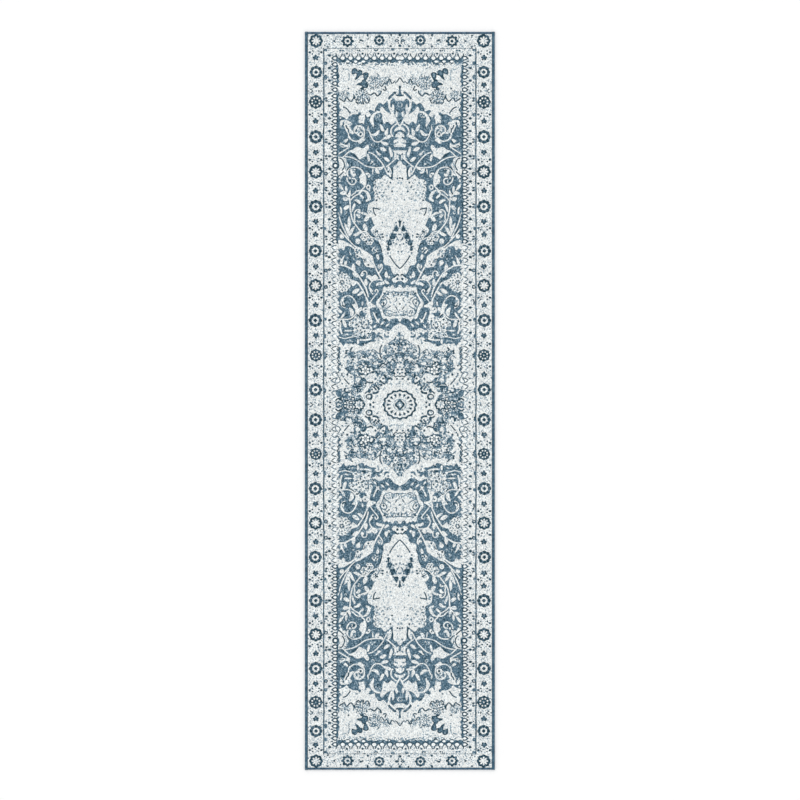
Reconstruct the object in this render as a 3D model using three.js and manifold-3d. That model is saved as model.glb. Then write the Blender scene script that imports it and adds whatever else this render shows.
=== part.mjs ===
// A runner rug lying flat on the floor: a patterned pile woven into a ground cloth, with a
// latex coat behind it, the long sides whipped over a cord and the short ends serged.
// Millimetres. X runs across the rug, Y along it and Z up. The origin is on the floor,
// under the middle of the rug.
import * as THREE from "three";
import { mergeVertices } from "three/addons/utils/BufferGeometryUtils.js";
import Module from "manifold-3d";

const wasm = await Module();
wasm.setup();

// ---- Driving dimensions --------------------------------------------------------------------

const RUG_LENGTH = 3048; // over the serged ends
const RUG_WIDTH = 785; // over the whipped sides

const COAT_THICKNESS = 0.8; // latex coat on the back
const GROUND_THICKNESS = 1.4; // woven warp and weft that hold the pile
const PILE_HEIGHT = 5.2; // yarn above the ground cloth
const PILE_SHOULDER = 1.2; // how far the pile's edges are rounded over

const YARN_THICKNESS = 1.6; // edge yarn where it passes under the cloth
const SIDE_BAND = 12.5; // width of the whipped band on each long side
const SIDE_HEIGHT = 8.4;
const SIDE_ROUND = 3.4; // radius of the band's upper edges
const CORD_DIAMETER = 4.4; // filler cord inside each whipped side
const END_BAND = 9.5; // width of the serged band on each short end
const END_HEIGHT = 7.6;
const END_ROUND = 2.8;
const END_WALL = 3; // yarn beyond the cut end of the ground cloth
const FOOT_ROUND = 1.2; // radius of every band's lower edges

const SEAM_THREAD = 0.4; // thickness of the lockstitch that holds the cut end
const SEAM_WIDTH = 0.9;
const SEAM_INSET = 5; // from the serged band to the seam
const LABEL_WIDTH = 55;
const LABEL_LENGTH = 32;
const LABEL_THICKNESS = 0.4; // one folded satin tape
const LABEL_INSET = 70; // from the whipped side to the label

const GAP = 0.3; // clearance between pieces that touch
const CORD_SIDES = 16;
const ROUND_STEPS = 4; // segments in each rounded corner

// ---- Levels above the floor and places worked out from them --------------------------------

const coatTop = YARN_THICKNESS;
const coatBottom = coatTop - COAT_THICKNESS;
const groundBottom = YARN_THICKNESS + GAP;
const groundTop = groundBottom + GROUND_THICKNESS;
const pileBottom = groundTop + GAP;
const seamTop = coatBottom - GAP;

const tackLength = END_WALL; // a corner tack is as long as the ground cloth's set-back
const sideInner = RUG_WIDTH / 2 - SIDE_BAND; // inner face of a whipped side
const endInner = RUG_LENGTH / 2 - END_BAND; // inner face of a serged end
const cordX = RUG_WIDTH / 2 - YARN_THICKNESS - GAP - CORD_DIAMETER / 2;
const groundHalfWidth = cordX - CORD_DIAMETER / 2 - GAP;
const groundHalfLength = RUG_LENGTH / 2 - END_WALL - GAP;
const sideLength = RUG_LENGTH - 2 * (tackLength + GAP);
const endLength = 2 * (sideInner - GAP);
const coveredWidth = 2 * (sideInner - GAP); // what the bands leave open
const coveredLength = 2 * (endInner - GAP);
const seamY = endInner - SEAM_INSET;

// ---- Materials -----------------------------------------------------------------------------

const cloth = (color, roughness) => new THREE.MeshStandardMaterial({ color, roughness, metalness: 0 });
const pileYarn = cloth(0xb4c1c8, 0.95);
const groundYarn = cloth(0xcfc7b4, 0.9);
const latex = cloth(0xd8d2c2, 0.75);
const edgeYarn = cloth(0x4f7390, 0.8);
const fillerCord = cloth(0xc9c1ad, 0.9);
const seamThread = cloth(0xe6e3da, 0.6);
const satin = cloth(0xf2f1ec, 0.45);

// ---- Shapes --------------------------------------------------------------------------------

const rug = new THREE.Group();

function add(name, geometry, material) {
  const mesh = new THREE.Mesh(geometry, material);
  mesh.name = name;
  rug.add(mesh);
  return mesh;
}

// A flat layer centred on the origin, from one level up.
function layer(width, length, bottom, thickness) {
  return new THREE.BoxGeometry(width, length, thickness).translate(0, 0, bottom + thickness / 2);
}

// A rectangle standing on the line v = 0, with its own radius for the upper and lower corners.
function bandProfile(width, height, upper, lower) {
  const half = width / 2;
  const profile = new THREE.Shape();
  profile.moveTo(-half + lower, 0);
  profile.lineTo(half - lower, 0);
  profile.absarc(half - lower, lower, lower, -Math.PI / 2, 0, false);
  profile.lineTo(half, height - upper);
  profile.absarc(half - upper, height - upper, upper, 0, Math.PI / 2, false);
  profile.lineTo(-half + upper, height);
  profile.absarc(-half + upper, height - upper, upper, Math.PI / 2, Math.PI, false);
  profile.lineTo(-half, lower);
  profile.absarc(-half + lower, lower, lower, Math.PI, 1.5 * Math.PI, false);
  return profile;
}

// A profile drawn out along Y, centred on the origin.
function drawnAlongY(profile, length) {
  const geometry = new THREE.ExtrudeGeometry(profile, {
    depth: length,
    bevelEnabled: false,
    curveSegments: ROUND_STEPS,
  });
  return geometry.rotateX(Math.PI / 2).translate(0, length / 2, 0);
}

function rodAlongY(radius, length, sides) {
  return new THREE.CylinderGeometry(radius, radius, length, sides);
}

// Boolean cuts run on the bare positions, with shared corners merged.
function solid(geometry) {
  const bare = geometry.clone();
  bare.deleteAttribute("normal");
  bare.deleteAttribute("uv");
  const merged = mergeVertices(bare, 1e-4);
  return new wasm.Manifold(
    new wasm.Mesh({
      numProp: 3,
      vertProperties: new Float32Array(merged.attributes.position.array),
      triVerts: new Uint32Array(merged.index.array),
    }),
  );
}

function cut(body, ...tools) {
  const mesh = tools.reduce((left, tool) => left.subtract(solid(tool)), solid(body)).getMesh();
  const geometry = new THREE.BufferGeometry();
  geometry.setAttribute("position", new THREE.BufferAttribute(mesh.vertProperties, 3));
  geometry.setIndex(new THREE.BufferAttribute(mesh.triVerts, 1));
  geometry.computeVertexNormals();
  return geometry;
}

// ---- The cloth and its backing --------------------------------------------------------------

function facePile() {
  const half = { x: coveredWidth / 2, y: coveredLength / 2 };
  const outline = new THREE.Shape([
    new THREE.Vector2(-half.x, -half.y),
    new THREE.Vector2(half.x, -half.y),
    new THREE.Vector2(half.x, half.y),
    new THREE.Vector2(-half.x, half.y),
  ]);
  const geometry = new THREE.ExtrudeGeometry(outline, {
    depth: PILE_HEIGHT - 2 * PILE_SHOULDER,
    bevelThickness: PILE_SHOULDER,
    bevelSize: PILE_SHOULDER,
    bevelOffset: -PILE_SHOULDER,
    bevelSegments: 2,
  });
  return geometry.translate(0, 0, pileBottom + PILE_SHOULDER);
}

function groundCloth() {
  return layer(2 * groundHalfWidth, 2 * groundHalfLength, groundBottom, GROUND_THICKNESS);
}

function latexCoat() {
  return layer(coveredWidth, coveredLength, coatBottom, COAT_THICKNESS);
}

add("face_pile", facePile(), pileYarn);
add("ground_cloth", groundCloth(), groundYarn);
add("latex_coat", latexCoat(), latex);

// ---- The whipped long sides -----------------------------------------------------------------

// The yarn wraps right round the cord, and opens inwards for the edge of the ground cloth.
function sideWhipping(side) {
  const middle = side * (RUG_WIDTH / 2 - SIDE_BAND / 2);
  const profile = bandProfile(SIDE_BAND, SIDE_HEIGHT, SIDE_ROUND, FOOT_ROUND);
  const band = drawnAlongY(profile, sideLength).translate(middle, 0, 0);
  const through = sideLength + 2;
  const bore = rodAlongY(CORD_DIAMETER / 2 + GAP, through, CORD_SIDES);
  bore.translate(side * cordX, 0, SIDE_HEIGHT / 2);
  const slotDepth = cordX - sideInner + 1;
  const slotHeight = GROUND_THICKNESS + 2 * GAP;
  const slot = new THREE.BoxGeometry(slotDepth, through, slotHeight);
  slot.translate(side * (cordX - slotDepth / 2), 0, groundBottom + GROUND_THICKNESS / 2);
  return cut(band, bore, slot);
}

function selvedgeCord(side) {
  return rodAlongY(CORD_DIAMETER / 2, sideLength, CORD_SIDES).translate(side * cordX, 0, SIDE_HEIGHT / 2);
}

for (const [name, side] of [["left", -1], ["right", 1]]) {
  add(`side_whipping_${name}`, sideWhipping(side), edgeYarn);
  add(`selvedge_cord_${name}`, selvedgeCord(side), fillerCord);
}

// ---- The serged short ends ------------------------------------------------------------------

// Yarn laid round the cut end of the ground cloth, made along Y and turned to lie along X.
function endSerging(end) {
  const band = drawnAlongY(bandProfile(END_BAND, END_HEIGHT, END_ROUND, FOOT_ROUND), endLength);
  band.rotateZ(Math.PI / 2).translate(0, end * (RUG_LENGTH / 2 - END_BAND / 2), 0);
  const slotDepth = groundHalfLength + GAP - endInner + 1;
  const slotHeight = GROUND_THICKNESS + 2 * GAP;
  const slot = new THREE.BoxGeometry(endLength + 2, slotDepth, slotHeight);
  const slotY = groundHalfLength + GAP - slotDepth / 2;
  slot.translate(0, end * slotY, groundBottom + GROUND_THICKNESS / 2);
  return cut(band, slot);
}

// The row of lockstitch behind the serging, which keeps the last wefts in place.
function endSeam(end) {
  const seam = new THREE.BoxGeometry(coveredWidth, SEAM_WIDTH, SEAM_THREAD);
  return seam.translate(0, end * seamY, seamTop - SEAM_THREAD / 2);
}

// Back-stitched yarn that closes the whipping where it meets the end.
function cornerTack(side, end) {
  const profile = bandProfile(SIDE_BAND, SIDE_HEIGHT, SIDE_ROUND, FOOT_ROUND);
  const x = side * (RUG_WIDTH / 2 - SIDE_BAND / 2);
  const y = end * (RUG_LENGTH / 2 - tackLength / 2);
  return drawnAlongY(profile, tackLength).translate(x, y, 0);
}

for (const [name, end] of [["near", -1], ["far", 1]]) {
  add(`end_serging_${name}`, endSerging(end), edgeYarn);
  add(`end_seam_${name}`, endSeam(end), seamThread);
  add(`corner_tack_${name}_left`, cornerTack(-1, end), edgeYarn);
  add(`corner_tack_${name}_right`, cornerTack(1, end), edgeYarn);
}

// ---- The care label under one corner --------------------------------------------------------

// Its outer edge lies against the end seam, which catches it.
function careLabel() {
  const label = new THREE.BoxGeometry(LABEL_WIDTH, LABEL_LENGTH, LABEL_THICKNESS);
  const x = -sideInner + LABEL_INSET + LABEL_WIDTH / 2;
  const y = -seamY + SEAM_WIDTH / 2 + GAP + LABEL_LENGTH / 2;
  return label.translate(x, y, seamTop - LABEL_THICKNESS / 2);
}

add("care_label", careLabel(), satin);

export default rug;
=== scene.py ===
# %% [markdown]
# # A runner rug, laid flat
# This lesson builds a long, narrow machine-woven rug. The real rug is a patterned cut pile on a
# woven ground cloth, coated with latex behind, whipped along its two long sides over a filler
# cord and serged across its two short ends. A simple solid of each piece is already in place, as
# a frame. Each solid is replaced here by a detailed piece of the same size.
#
# The first cell loads that frame and keeps its pieces, whose boxes give the finished pieces
# their sizes.

# %% Load the frame
from math import cos, hypot, pi, radians, sin, tau

import bmesh
import bpy
from mathutils import Matrix, Vector, noise
from mathutils.geometry import delaunay_2d_cdt


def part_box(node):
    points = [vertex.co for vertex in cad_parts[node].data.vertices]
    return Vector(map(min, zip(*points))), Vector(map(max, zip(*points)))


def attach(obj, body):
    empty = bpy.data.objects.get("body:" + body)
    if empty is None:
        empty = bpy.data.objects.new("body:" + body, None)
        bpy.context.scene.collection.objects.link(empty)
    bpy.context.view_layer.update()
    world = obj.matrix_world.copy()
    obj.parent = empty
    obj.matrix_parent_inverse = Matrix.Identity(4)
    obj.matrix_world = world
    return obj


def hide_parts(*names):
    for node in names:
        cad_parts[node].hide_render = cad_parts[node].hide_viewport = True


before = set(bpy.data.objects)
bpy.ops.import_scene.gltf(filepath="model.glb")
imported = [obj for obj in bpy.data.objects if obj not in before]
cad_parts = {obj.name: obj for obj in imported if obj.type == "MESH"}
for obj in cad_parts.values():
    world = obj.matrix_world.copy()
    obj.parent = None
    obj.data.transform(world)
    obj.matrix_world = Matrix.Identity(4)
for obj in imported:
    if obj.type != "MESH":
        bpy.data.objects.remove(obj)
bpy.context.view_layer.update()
print("pieces in the frame:", len(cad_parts))

# %% [markdown]
# ## Camera, light and floor
# A rug is drawn best from straight above. A long lens from high up keeps its sides parallel,
# which a short lens close by wouldn't do. The light is a bright even sky and one soft sun from
# behind, enough to let the bound edges show their ribs without a hard shadow. The floor is plain
# and nearly white.

# %% Camera
CAMERA_HEIGHT = 12.0
SENSOR = 0.036
VIEW_SIDE = 3.3053  # metres of floor across the square view
VIEW_MIDDLE = (0.0006, 0.0034)

camera_data = bpy.data.cameras.new("Camera")
camera_data.sensor_width = SENSOR * 1000
camera_data.lens = SENSOR * 1000 * CAMERA_HEIGHT / VIEW_SIDE
camera_data.clip_end = 200
camera = bpy.data.objects.new("Camera", camera_data)
camera.location = (VIEW_MIDDLE[0], VIEW_MIDDLE[1], CAMERA_HEIGHT)
bpy.context.scene.collection.objects.link(camera)
bpy.context.scene.camera = camera
bpy.context.scene.view_settings.view_transform = "Standard"
print("lens:", round(camera_data.lens), "mm")

# %% Light
SKY_STRENGTH = 0.95
SUN_STRENGTH = 0.42
SUN_SOFTNESS = 60  # degrees
SUN_LEAN = (-35, -20)  # degrees, towards the back and the side

world = bpy.data.worlds.new("Studio sky")
bpy.context.scene.world = world
world.use_nodes = True
sky = world.node_tree.nodes["Background"]
sky.inputs["Color"].default_value = (1, 1, 1, 1)
sky.inputs["Strength"].default_value = SKY_STRENGTH

sun_data = bpy.data.lights.new("Soft sun", "SUN")
sun_data.energy = SUN_STRENGTH
sun_data.angle = radians(SUN_SOFTNESS)
sun = bpy.data.objects.new("Soft sun", sun_data)
sun.rotation_euler = (radians(SUN_LEAN[0]), radians(SUN_LEAN[1]), 0)
bpy.context.scene.collection.objects.link(sun)
print("sky:", SKY_STRENGTH, "sun:", SUN_STRENGTH)

# %% Floor
FLOOR_SIDE = 40.0

floor_bm = bmesh.new()
bmesh.ops.create_grid(floor_bm, x_segments=8, y_segments=8, size=FLOOR_SIDE / 2)
floor_mesh = bpy.data.meshes.new("Floor")
floor_bm.to_mesh(floor_mesh)
floor_bm.free()
floor = bpy.data.objects.new("Floor", floor_mesh)
bpy.context.scene.collection.objects.link(floor)
floor_paint = bpy.data.materials.new("Pale floor")
floor_paint.use_nodes = True
floor_shader = floor_paint.node_tree.nodes["Principled BSDF"]
floor_shader.inputs["Base Color"].default_value = (0.96, 0.96, 0.96, 1)
floor_shader.inputs["Roughness"].default_value = 0.9
floor_mesh.materials.append(floor_paint)
print("floor:", FLOOR_SIDE, "metres square")

# %% [markdown]
# ## Helpers for finished pieces
# Every piece ends the same way: its bmesh becomes an object at the origin, gets its materials,
# rides on the rug's one body and stands in for its solid. Levels and widths are read from the
# frame's boxes, so the pieces fit it whatever its size.

# %% Helpers
MM = 0.001
CM = 0.01
BODY = "root"


def finish_piece(name, bm, materials, replaced):
    """Turns a bmesh into a named piece that rides on the rug."""
    mesh = bpy.data.meshes.new(name)
    for face in bm.faces:
        face.smooth = True
    bm.to_mesh(mesh)
    bm.free()
    for material in materials:
        mesh.materials.append(material)
    piece = bpy.data.objects.new(name, mesh)
    bpy.context.scene.collection.objects.link(piece)
    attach(piece, BODY)
    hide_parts(*replaced)
    print(f"{name}: {len(mesh.vertices)} points, {len(mesh.polygons)} faces")
    return piece


def open_edges(bm):
    return [edge for edge in bm.edges if edge.is_boundary]


def close_holes(bm):
    """Fills every open loop and points all faces outwards."""
    bmesh.ops.holes_fill(bm, edges=open_edges(bm), sides=0)
    caps = [face for face in bm.faces if len(face.verts) > 4]
    bmesh.ops.triangulate(bm, faces=caps, ngon_method="EAR_CLIP")
    bmesh.ops.recalc_face_normals(bm, faces=bm.faces[:])


# %% [markdown]
# ## Finishes
# All of the rug is fibre, so one small kit of nodes serves every finish. Dyed yarn is never one
# flat colour: each knot takes the dye a little differently, and a faded pattern is woven by
# mixing single knots of one yarn into the field of another. Snapping the object's coordinates to
# the spacing of the knots gives each knot one random number, and that number picks its yarn. A
# picture texture could hold the same, but it would need far more detail than these few nodes.

# %% Node helpers
def srgb(red, green, blue):
    """A colour as read off a dye card, from 0 to 255, as the shader needs it."""
    shares = [channel / 255 for channel in (red, green, blue)]
    return tuple(c / 12.92 if c <= 0.04 else ((c + 0.055) / 1.055) ** 2.4 for c in shares) + (1,)


DRIFT_SCALE = 160  # how finely the rows of knots are bent


class Finish:
    """A material with its node tree, its shader and the object's coordinates at hand."""

    def __init__(self, name, roughness, sheen=0.0):
        self.material = bpy.data.materials.new(name)
        self.material.use_nodes = True
        self.tree = self.material.node_tree
        self.shader = self.tree.nodes["Principled BSDF"]
        self.shader.inputs["Roughness"].default_value = roughness
        self.shader.inputs["Sheen Weight"].default_value = sheen
        self.shader.inputs["Sheen Roughness"].default_value = 0.5
        self.shader.inputs["Specular IOR Level"].default_value = 0.2
        self.place = self.node("ShaderNodeTexCoord").outputs["Object"]

    def node(self, kind, **settings):
        made = self.tree.nodes.new(kind)
        for key, value in settings.items():
            setattr(made, key, value)
        return made

    def feed(self, socket, value):
        if isinstance(value, bpy.types.NodeSocket):
            self.tree.links.new(value, socket)
        else:
            socket.default_value = value

    def math(self, operation, a, b=0.0):
        made = self.node("ShaderNodeMath", operation=operation)
        self.feed(made.inputs[0], a)
        self.feed(made.inputs[1], b)
        return made.outputs[0]

    def noise(self, scale, detail=2.0, place=None):
        made = self.node("ShaderNodeTexNoise")
        self.feed(made.inputs["Vector"], place or self.place)
        made.inputs["Scale"].default_value = scale
        made.inputs["Detail"].default_value = detail
        return made.outputs["Fac"]

    def stretched(self, scale):
        made = self.node("ShaderNodeMapping")
        self.feed(made.inputs["Vector"], self.place)
        made.inputs["Scale"].default_value = scale
        return made.outputs["Vector"]

    def wave(self, direction, pitch, distortion=0.0):
        """Bands that come back every pitch; at a scale of 1 the node repeats every tau / 20."""
        made = self.node("ShaderNodeTexWave", bands_direction=direction)
        self.feed(made.inputs["Vector"], self.place)
        made.inputs["Scale"].default_value = tau / 20 / pitch
        made.inputs["Distortion"].default_value = distortion
        return made.outputs["Fac"]

    def cells(self, across, along, wobble, seed=0.0):
        """One random number for each knot; wobble bends the rows of knots a little."""
        drift = self.node("ShaderNodeTexNoise")
        self.feed(drift.inputs["Vector"], self.place)
        drift.inputs["Scale"].default_value = DRIFT_SCALE
        bent = self.node("ShaderNodeVectorMath", operation="MULTIPLY_ADD")
        self.feed(bent.inputs[0], drift.outputs["Color"])
        bent.inputs[1].default_value = (wobble, wobble, 0)
        self.feed(bent.inputs[2], self.place)
        snapped = self.node("ShaderNodeVectorMath", operation="SNAP")
        self.feed(snapped.inputs[0], bent.outputs[0])
        snapped.inputs[1].default_value = (across, along, 1)
        pick = self.node("ShaderNodeTexWhiteNoise", noise_dimensions="4D")
        self.feed(pick.inputs["Vector"], snapped.outputs[0])
        pick.inputs["W"].default_value = seed
        return pick.outputs["Value"]

    def steps(self, value, *stops):
        """A ramp without blending: each stop is where a colour starts, and the colour."""
        made = self.node("ShaderNodeValToRGB")
        self.feed(made.inputs["Fac"], value)
        ramp = made.color_ramp
        ramp.interpolation = "CONSTANT"
        ramp.elements.remove(ramp.elements[1])
        ramp.elements[0].position, ramp.elements[0].color = stops[0]
        for position, color in stops[1:]:
            ramp.elements.new(position).color = color
        return made.outputs["Color"]

    def mix(self, factor, a, b):
        made = self.node("ShaderNodeMix", data_type="RGBA")
        self.feed(made.inputs["Factor"], factor)
        self.feed(made.inputs["A"], a)
        self.feed(made.inputs["B"], b)
        return made.outputs["Result"]

    def shade(self, color, value, low, high):
        """Makes a colour lighter or darker from one place to the next, between two strengths."""
        spread = self.node("ShaderNodeMapRange")
        self.feed(spread.inputs["Value"], value)
        spread.inputs["To Min"].default_value = low
        spread.inputs["To Max"].default_value = high
        made = self.node("ShaderNodeHueSaturation")
        self.feed(made.inputs["Value"], spread.outputs["Result"])
        self.feed(made.inputs["Color"], color)
        return made.outputs["Color"]

    def relief(self, height, distance, strength=1.0):
        made = self.node("ShaderNodeBump")
        made.inputs["Strength"].default_value = strength
        made.inputs["Distance"].default_value = distance
        self.feed(made.inputs["Height"], height)
        self.feed(self.shader.inputs["Normal"], made.outputs["Normal"])

    def paint(self, color):
        self.feed(self.shader.inputs["Base Color"], color)
        return self.material


# %% [markdown]
# ### Pile yarns
# The rug is woven from a few yarns: ivories, a field blue, a dark slate and a pale mist. The
# ground of the borders and the stone and mottle areas are mixtures of them, knot by knot. Each
# row of the table names an area of the pattern, its own yarn, and the yarns that stray into it
# with the share of knots each one takes. On top of that every knot is a little lighter or darker,
# and a fine relief stands for the cut tufts and their rows.

# %% Pile materials
KNOT_ACROSS = 3.6 * MM
KNOT_ALONG = 3.8 * MM
KNOT_WOBBLE = 1.8 * MM

IVORY_DYE = srgb(230, 233, 231)
HAZE_DYE = srgb(203, 209, 212)
CHALK_DYE = srgb(246, 251, 251)
BLUE_DYE = srgb(83, 112, 130)
SLATE_DYE = srgb(32, 63, 77)
MIST_DYE = srgb(147, 168, 181)
IVORY, BLUE, SLATE, MIST, STONE, MOTTLE = "ivory", "blue", "slate", "mist", "stone", "mottle"
GROUND, CREAM = "border ground", "cream"
PILE_YARNS = {
    IVORY: (IVORY_DYE, (HAZE_DYE, 0.24), (MIST_DYE, 0.07), (CHALK_DYE, 0.18)),
    CREAM: (CHALK_DYE, (IVORY_DYE, 0.3)),
    GROUND: (IVORY_DYE, (HAZE_DYE, 0.26), (MIST_DYE, 0.11), (BLUE_DYE, 0.03), (CHALK_DYE, 0.2)),
    BLUE: (BLUE_DYE, (SLATE_DYE, 0.17), (MIST_DYE, 0.14)),
    SLATE: (SLATE_DYE, (BLUE_DYE, 0.24)),
    MIST: (MIST_DYE, (SLATE_DYE, 0.14), (IVORY_DYE, 0.2)),
    STONE: (IVORY_DYE, (MIST_DYE, 0.28), (BLUE_DYE, 0.12), (SLATE_DYE, 0.08), (CHALK_DYE, 0.2)),
    MOTTLE: (MIST_DYE, (SLATE_DYE, 0.14), (BLUE_DYE, 0.32), (IVORY_DYE, 0.14), (CHALK_DYE, 0.06)),
}


def pile_finish(name, dye, *strays):
    """Cut pile of one yarn, with knots of other yarns strewn through it."""
    finish = Finish(f"Pile yarn {name}", roughness=0.92, sheen=0.12)
    pick = finish.cells(KNOT_ACROSS, KNOT_ALONG, wobble=KNOT_WOBBLE)
    stops = []
    start = 0.0
    for stray, share in strays:
        stops.append((start, stray))
        start += share
    color = finish.steps(pick, *stops, (start, dye))
    tone = finish.cells(KNOT_ACROSS, KNOT_ALONG, wobble=KNOT_WOBBLE, seed=1.0)
    color = finish.shade(color, tone, 0.92, 1.05)
    color = finish.shade(color, finish.noise(3.0), 0.96, 1.04)
    tufts = finish.noise(420, detail=3)
    rows = finish.wave("Y", KNOT_ALONG, distortion=1.5)
    height = finish.math("ADD", tufts, finish.math("MULTIPLY", rows, 0.4))
    finish.relief(height, distance=0.9 * MM, strength=0.5)
    return finish.paint(color)


pile_materials = {name: pile_finish(name, *recipe) for name, recipe in PILE_YARNS.items()}
print("pile yarns:", ", ".join(pile_materials))

# %% [markdown]
# ## The design card
# A weaver draws one quarter of a symmetrical rug on a card, and the loom repeats it mirrored. The
# card here works the same way: outlines in centimetres, x outwards from the middle line and y
# from the middle of the medallion towards the far end. Shapes are laid one over another like cut
# paper, and the uppermost decides the yarn. Drawing the motifs as outlines keeps their edges
# crisp, which a painted grid of knots would not at this size.

# %% The card
CARD = []


def lay(outline, yarn):
    CARD.append((yarn, [(x, y) for x, y in outline]))


def laid(what):
    print(f"{what}: {len(CARD)} outlines on the card by now")


def patch(yarn, *points):
    """A shape with straight edges."""
    lay(points, yarn)


# %% [markdown]
# ### Curved shapes
# Leaves and petals on the real rug have soft outlines. They could be Bezier curves, each with its
# handles. A Catmull-Rom curve needs no handles: it passes through every point given, so a few
# points are enough to draw a leaf.

# %% Soft curves
def smooth(points, closed=True, steps=3):
    """Points along a soft curve through the given ones."""
    count = len(points)
    curve = []
    for i in range(count if closed else count - 1):
        near = [i + k if closed else min(max(i + k, 0), count - 1) for k in (-1, 0, 1, 2)]
        ring = [points[k % count] for k in near]
        for s in range(steps):
            t = s / steps
            weights = (
                -0.5 * t + t * t - 0.5 * t**3,
                1 - 2.5 * t * t + 1.5 * t**3,
                0.5 * t + 2 * t * t - 1.5 * t**3,
                -0.5 * t * t + 0.5 * t**3,
            )
            curve.append(tuple(sum(w * p[axis] for w, p in zip(weights, ring)) for axis in (0, 1)))
    if not closed:
        curve.append(points[-1])
    return curve


def blob(yarn, *points):
    """A shape with a soft outline."""
    lay(smooth(points), yarn)


# %% Discs and dots
def disc(yarn, x, y, radius, tall=1.0, lobes=0, depth=0.0, turn=0.0, sides=14):
    """A round or oval shape; with lobes, its edge goes in and out by depth."""
    sides = max(sides, 4 * lobes)
    outline = []
    for i in range(sides):
        a = tau * i / sides
        r = radius * (1 + depth * cos(lobes * (a - turn))) if lobes else radius
        outline.append((x + r * cos(a), y + r * sin(a) * tall))
    lay(outline, yarn)


def dots(yarn, radius, *places):
    for x, y in places:
        disc(yarn, x, y, radius, sides=8)


# %% Stems, leaves and coils
def stem(yarn, width, *points, steps=3, tip=None):
    """A line of even width along a soft curve; with tip, it narrows to that width."""
    curve = smooth(points, closed=False, steps=steps)
    left, right = [], []
    for i, (x, y) in enumerate(curve):
        ax, ay = curve[max(i - 1, 0)]
        bx, by = curve[min(i + 1, len(curve) - 1)]
        size = hypot(bx - ax, by - ay) or 1
        half = width / 2
        if tip is not None:
            half += (tip - width) / 2 * i / (len(curve) - 1)
        nx, ny = -(by - ay) / size * half, (bx - ax) / size * half
        left.append((x + nx, y + ny))
        right.append((x - nx, y - ny))
    lay(left + right[::-1], yarn)


def leaf(yarn, x0, y0, x1, y1, width, bend=0.0):
    """A pointed leaf from its foot to its tip, bowed sideways by bend."""
    dx, dy = x1 - x0, y1 - y0
    size = hypot(dx, dy)
    nx, ny = -dy / size, dx / size
    near, far = [], []
    for t in (0.0, 0.2, 0.45, 0.7, 0.88):
        bow = bend * 4 * t * (1 - t)
        half = width / 2 * sin(pi * t**0.8)
        mx, my = x0 + dx * t + nx * bow, y0 + dy * t + ny * bow
        near.append((mx + nx * half, my + ny * half))
        if t:
            far.append((mx - nx * half, my - ny * half))
    lay(near + [(x1, y1)] + far[::-1], yarn)


def spiral(yarn, x, y, radius, width, turns=1.25, start=0.0):
    """A coil that closes in on its middle, from an angle in degrees."""
    points = []
    steps = int(8 * turns) + 1
    for i in range(steps + 1):
        t = i / steps
        a = radians(start) + tau * turns * t
        r = radius * (1 - 0.78 * t)
        points.append((x + r * cos(a), y + r * sin(a)))
    stem(yarn, width, *points, steps=2, tip=width * 0.7)


# %% [markdown]
# ### Grounds
# On the real rug the borders have a flecked ground and the field starts from plain ivory. The
# motifs could be cut so that they meet edge to edge, with nothing under them. Two plain
# rectangles laid first are simpler, because whatever comes later covers them.

# %% Grounds
patch(GROUND, (0, 0), (38.4, 0), (38.4, 153.4), (0, 153.4))
patch(IVORY, (0, 0), (25, 0), (25, 140.6), (0, 140.6))
laid("grounds")

# %% [markdown]
# ### End of the field
# Each end of the real field is an ivory spandrel with dark leaves and worn, stippled roses, cut off
# by a toothed line, and below it starts the blue ground with its vines. Every edge is irregular,
# so the outlines are drawn one by one. Only the stippled rose comes back, in four sizes, and
# so it is a helper that sets short flecks round four rings.

# %% Stippled rose
def stippled_rose(x, y, size, yarns, width):
    """A loose rose made of short flecks."""
    disc(STONE, x, y, size * 0.95, lobes=5, depth=0.1)
    for ring, count in ((0.95, 15), (0.7, 12), (0.42, 7), (0.15, 3)):
        for k in range(count):
            a = tau * k / count + 2.1 * ring
            r = size * (ring + (0.05, -0.04)[k % 2])
            mx, my = x + r * cos(a), y + r * sin(a)
            turn = a + (0.5, 1.9)[k % 2]
            dx, dy = 0.36 * cos(turn), 0.36 * sin(turn)
            stem(yarns[k % 4], width, (mx - dx, my - dy), (mx + dx, my + dy), steps=1)


# %% Spandrel
blob(SLATE, (19.9, 136.4), (19.9, 138.2), (18.9, 139), (17.9, 138.8), (17.3, 137.9), (16.6, 138.3),
     (15.5, 137.8), (15.6, 136.5), (16.6, 135.6), (17.2, 134.8), (18.6, 134), (18, 135.6), (18, 136.7),
     (19.3, 136.4))
blob(BLUE, (19.5, 136.9), (19.5, 137.9), (18.7, 138.5), (18, 138.3), (17.4, 137.3), (16.5, 137.8),
     (15.9, 137.3), (16.2, 136.6), (17, 135.8), (17.6, 136.4), (18.2, 137.2))
stem(SLATE, 0.5, (16.2, 136.1), (15.4, 136.4), (14.6, 136.9), steps=2)
blob(SLATE, (15, 136.9), (13.9, 137.3), (12.9, 136.8), (12.9, 135.9), (13.3, 135), (13.9, 134), (14.7, 134.3),
     (15.1, 135.6))
blob(BLUE, (14.7, 136.6), (13.9, 136.9), (13.4, 136.2), (13.8, 135.2), (14.4, 135), (14.7, 135.8))
blob(SLATE, (15.4, 134.2), (14.2, 134.3), (13.7, 133.3), (13, 133.1), (13, 131.9), (13.3, 130.9),
     (14.4, 130.7), (15.3, 130.9), (16, 131.7), (17.8, 132), (17.2, 132.8), (16, 133.2))
blob(BLUE, (15, 133.7), (14.1, 133.2), (13.5, 132.4), (13.8, 131.3), (15, 131.4), (15.8, 132.2),
     (16.3, 132.6))
blob(SLATE, (15.7, 131.1), (16.4, 130.6), (16.8, 129.7), (16.1, 128.9), (15.2, 128.7), (14.6, 129.2),
     (14.8, 130.2), (15, 131))
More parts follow.
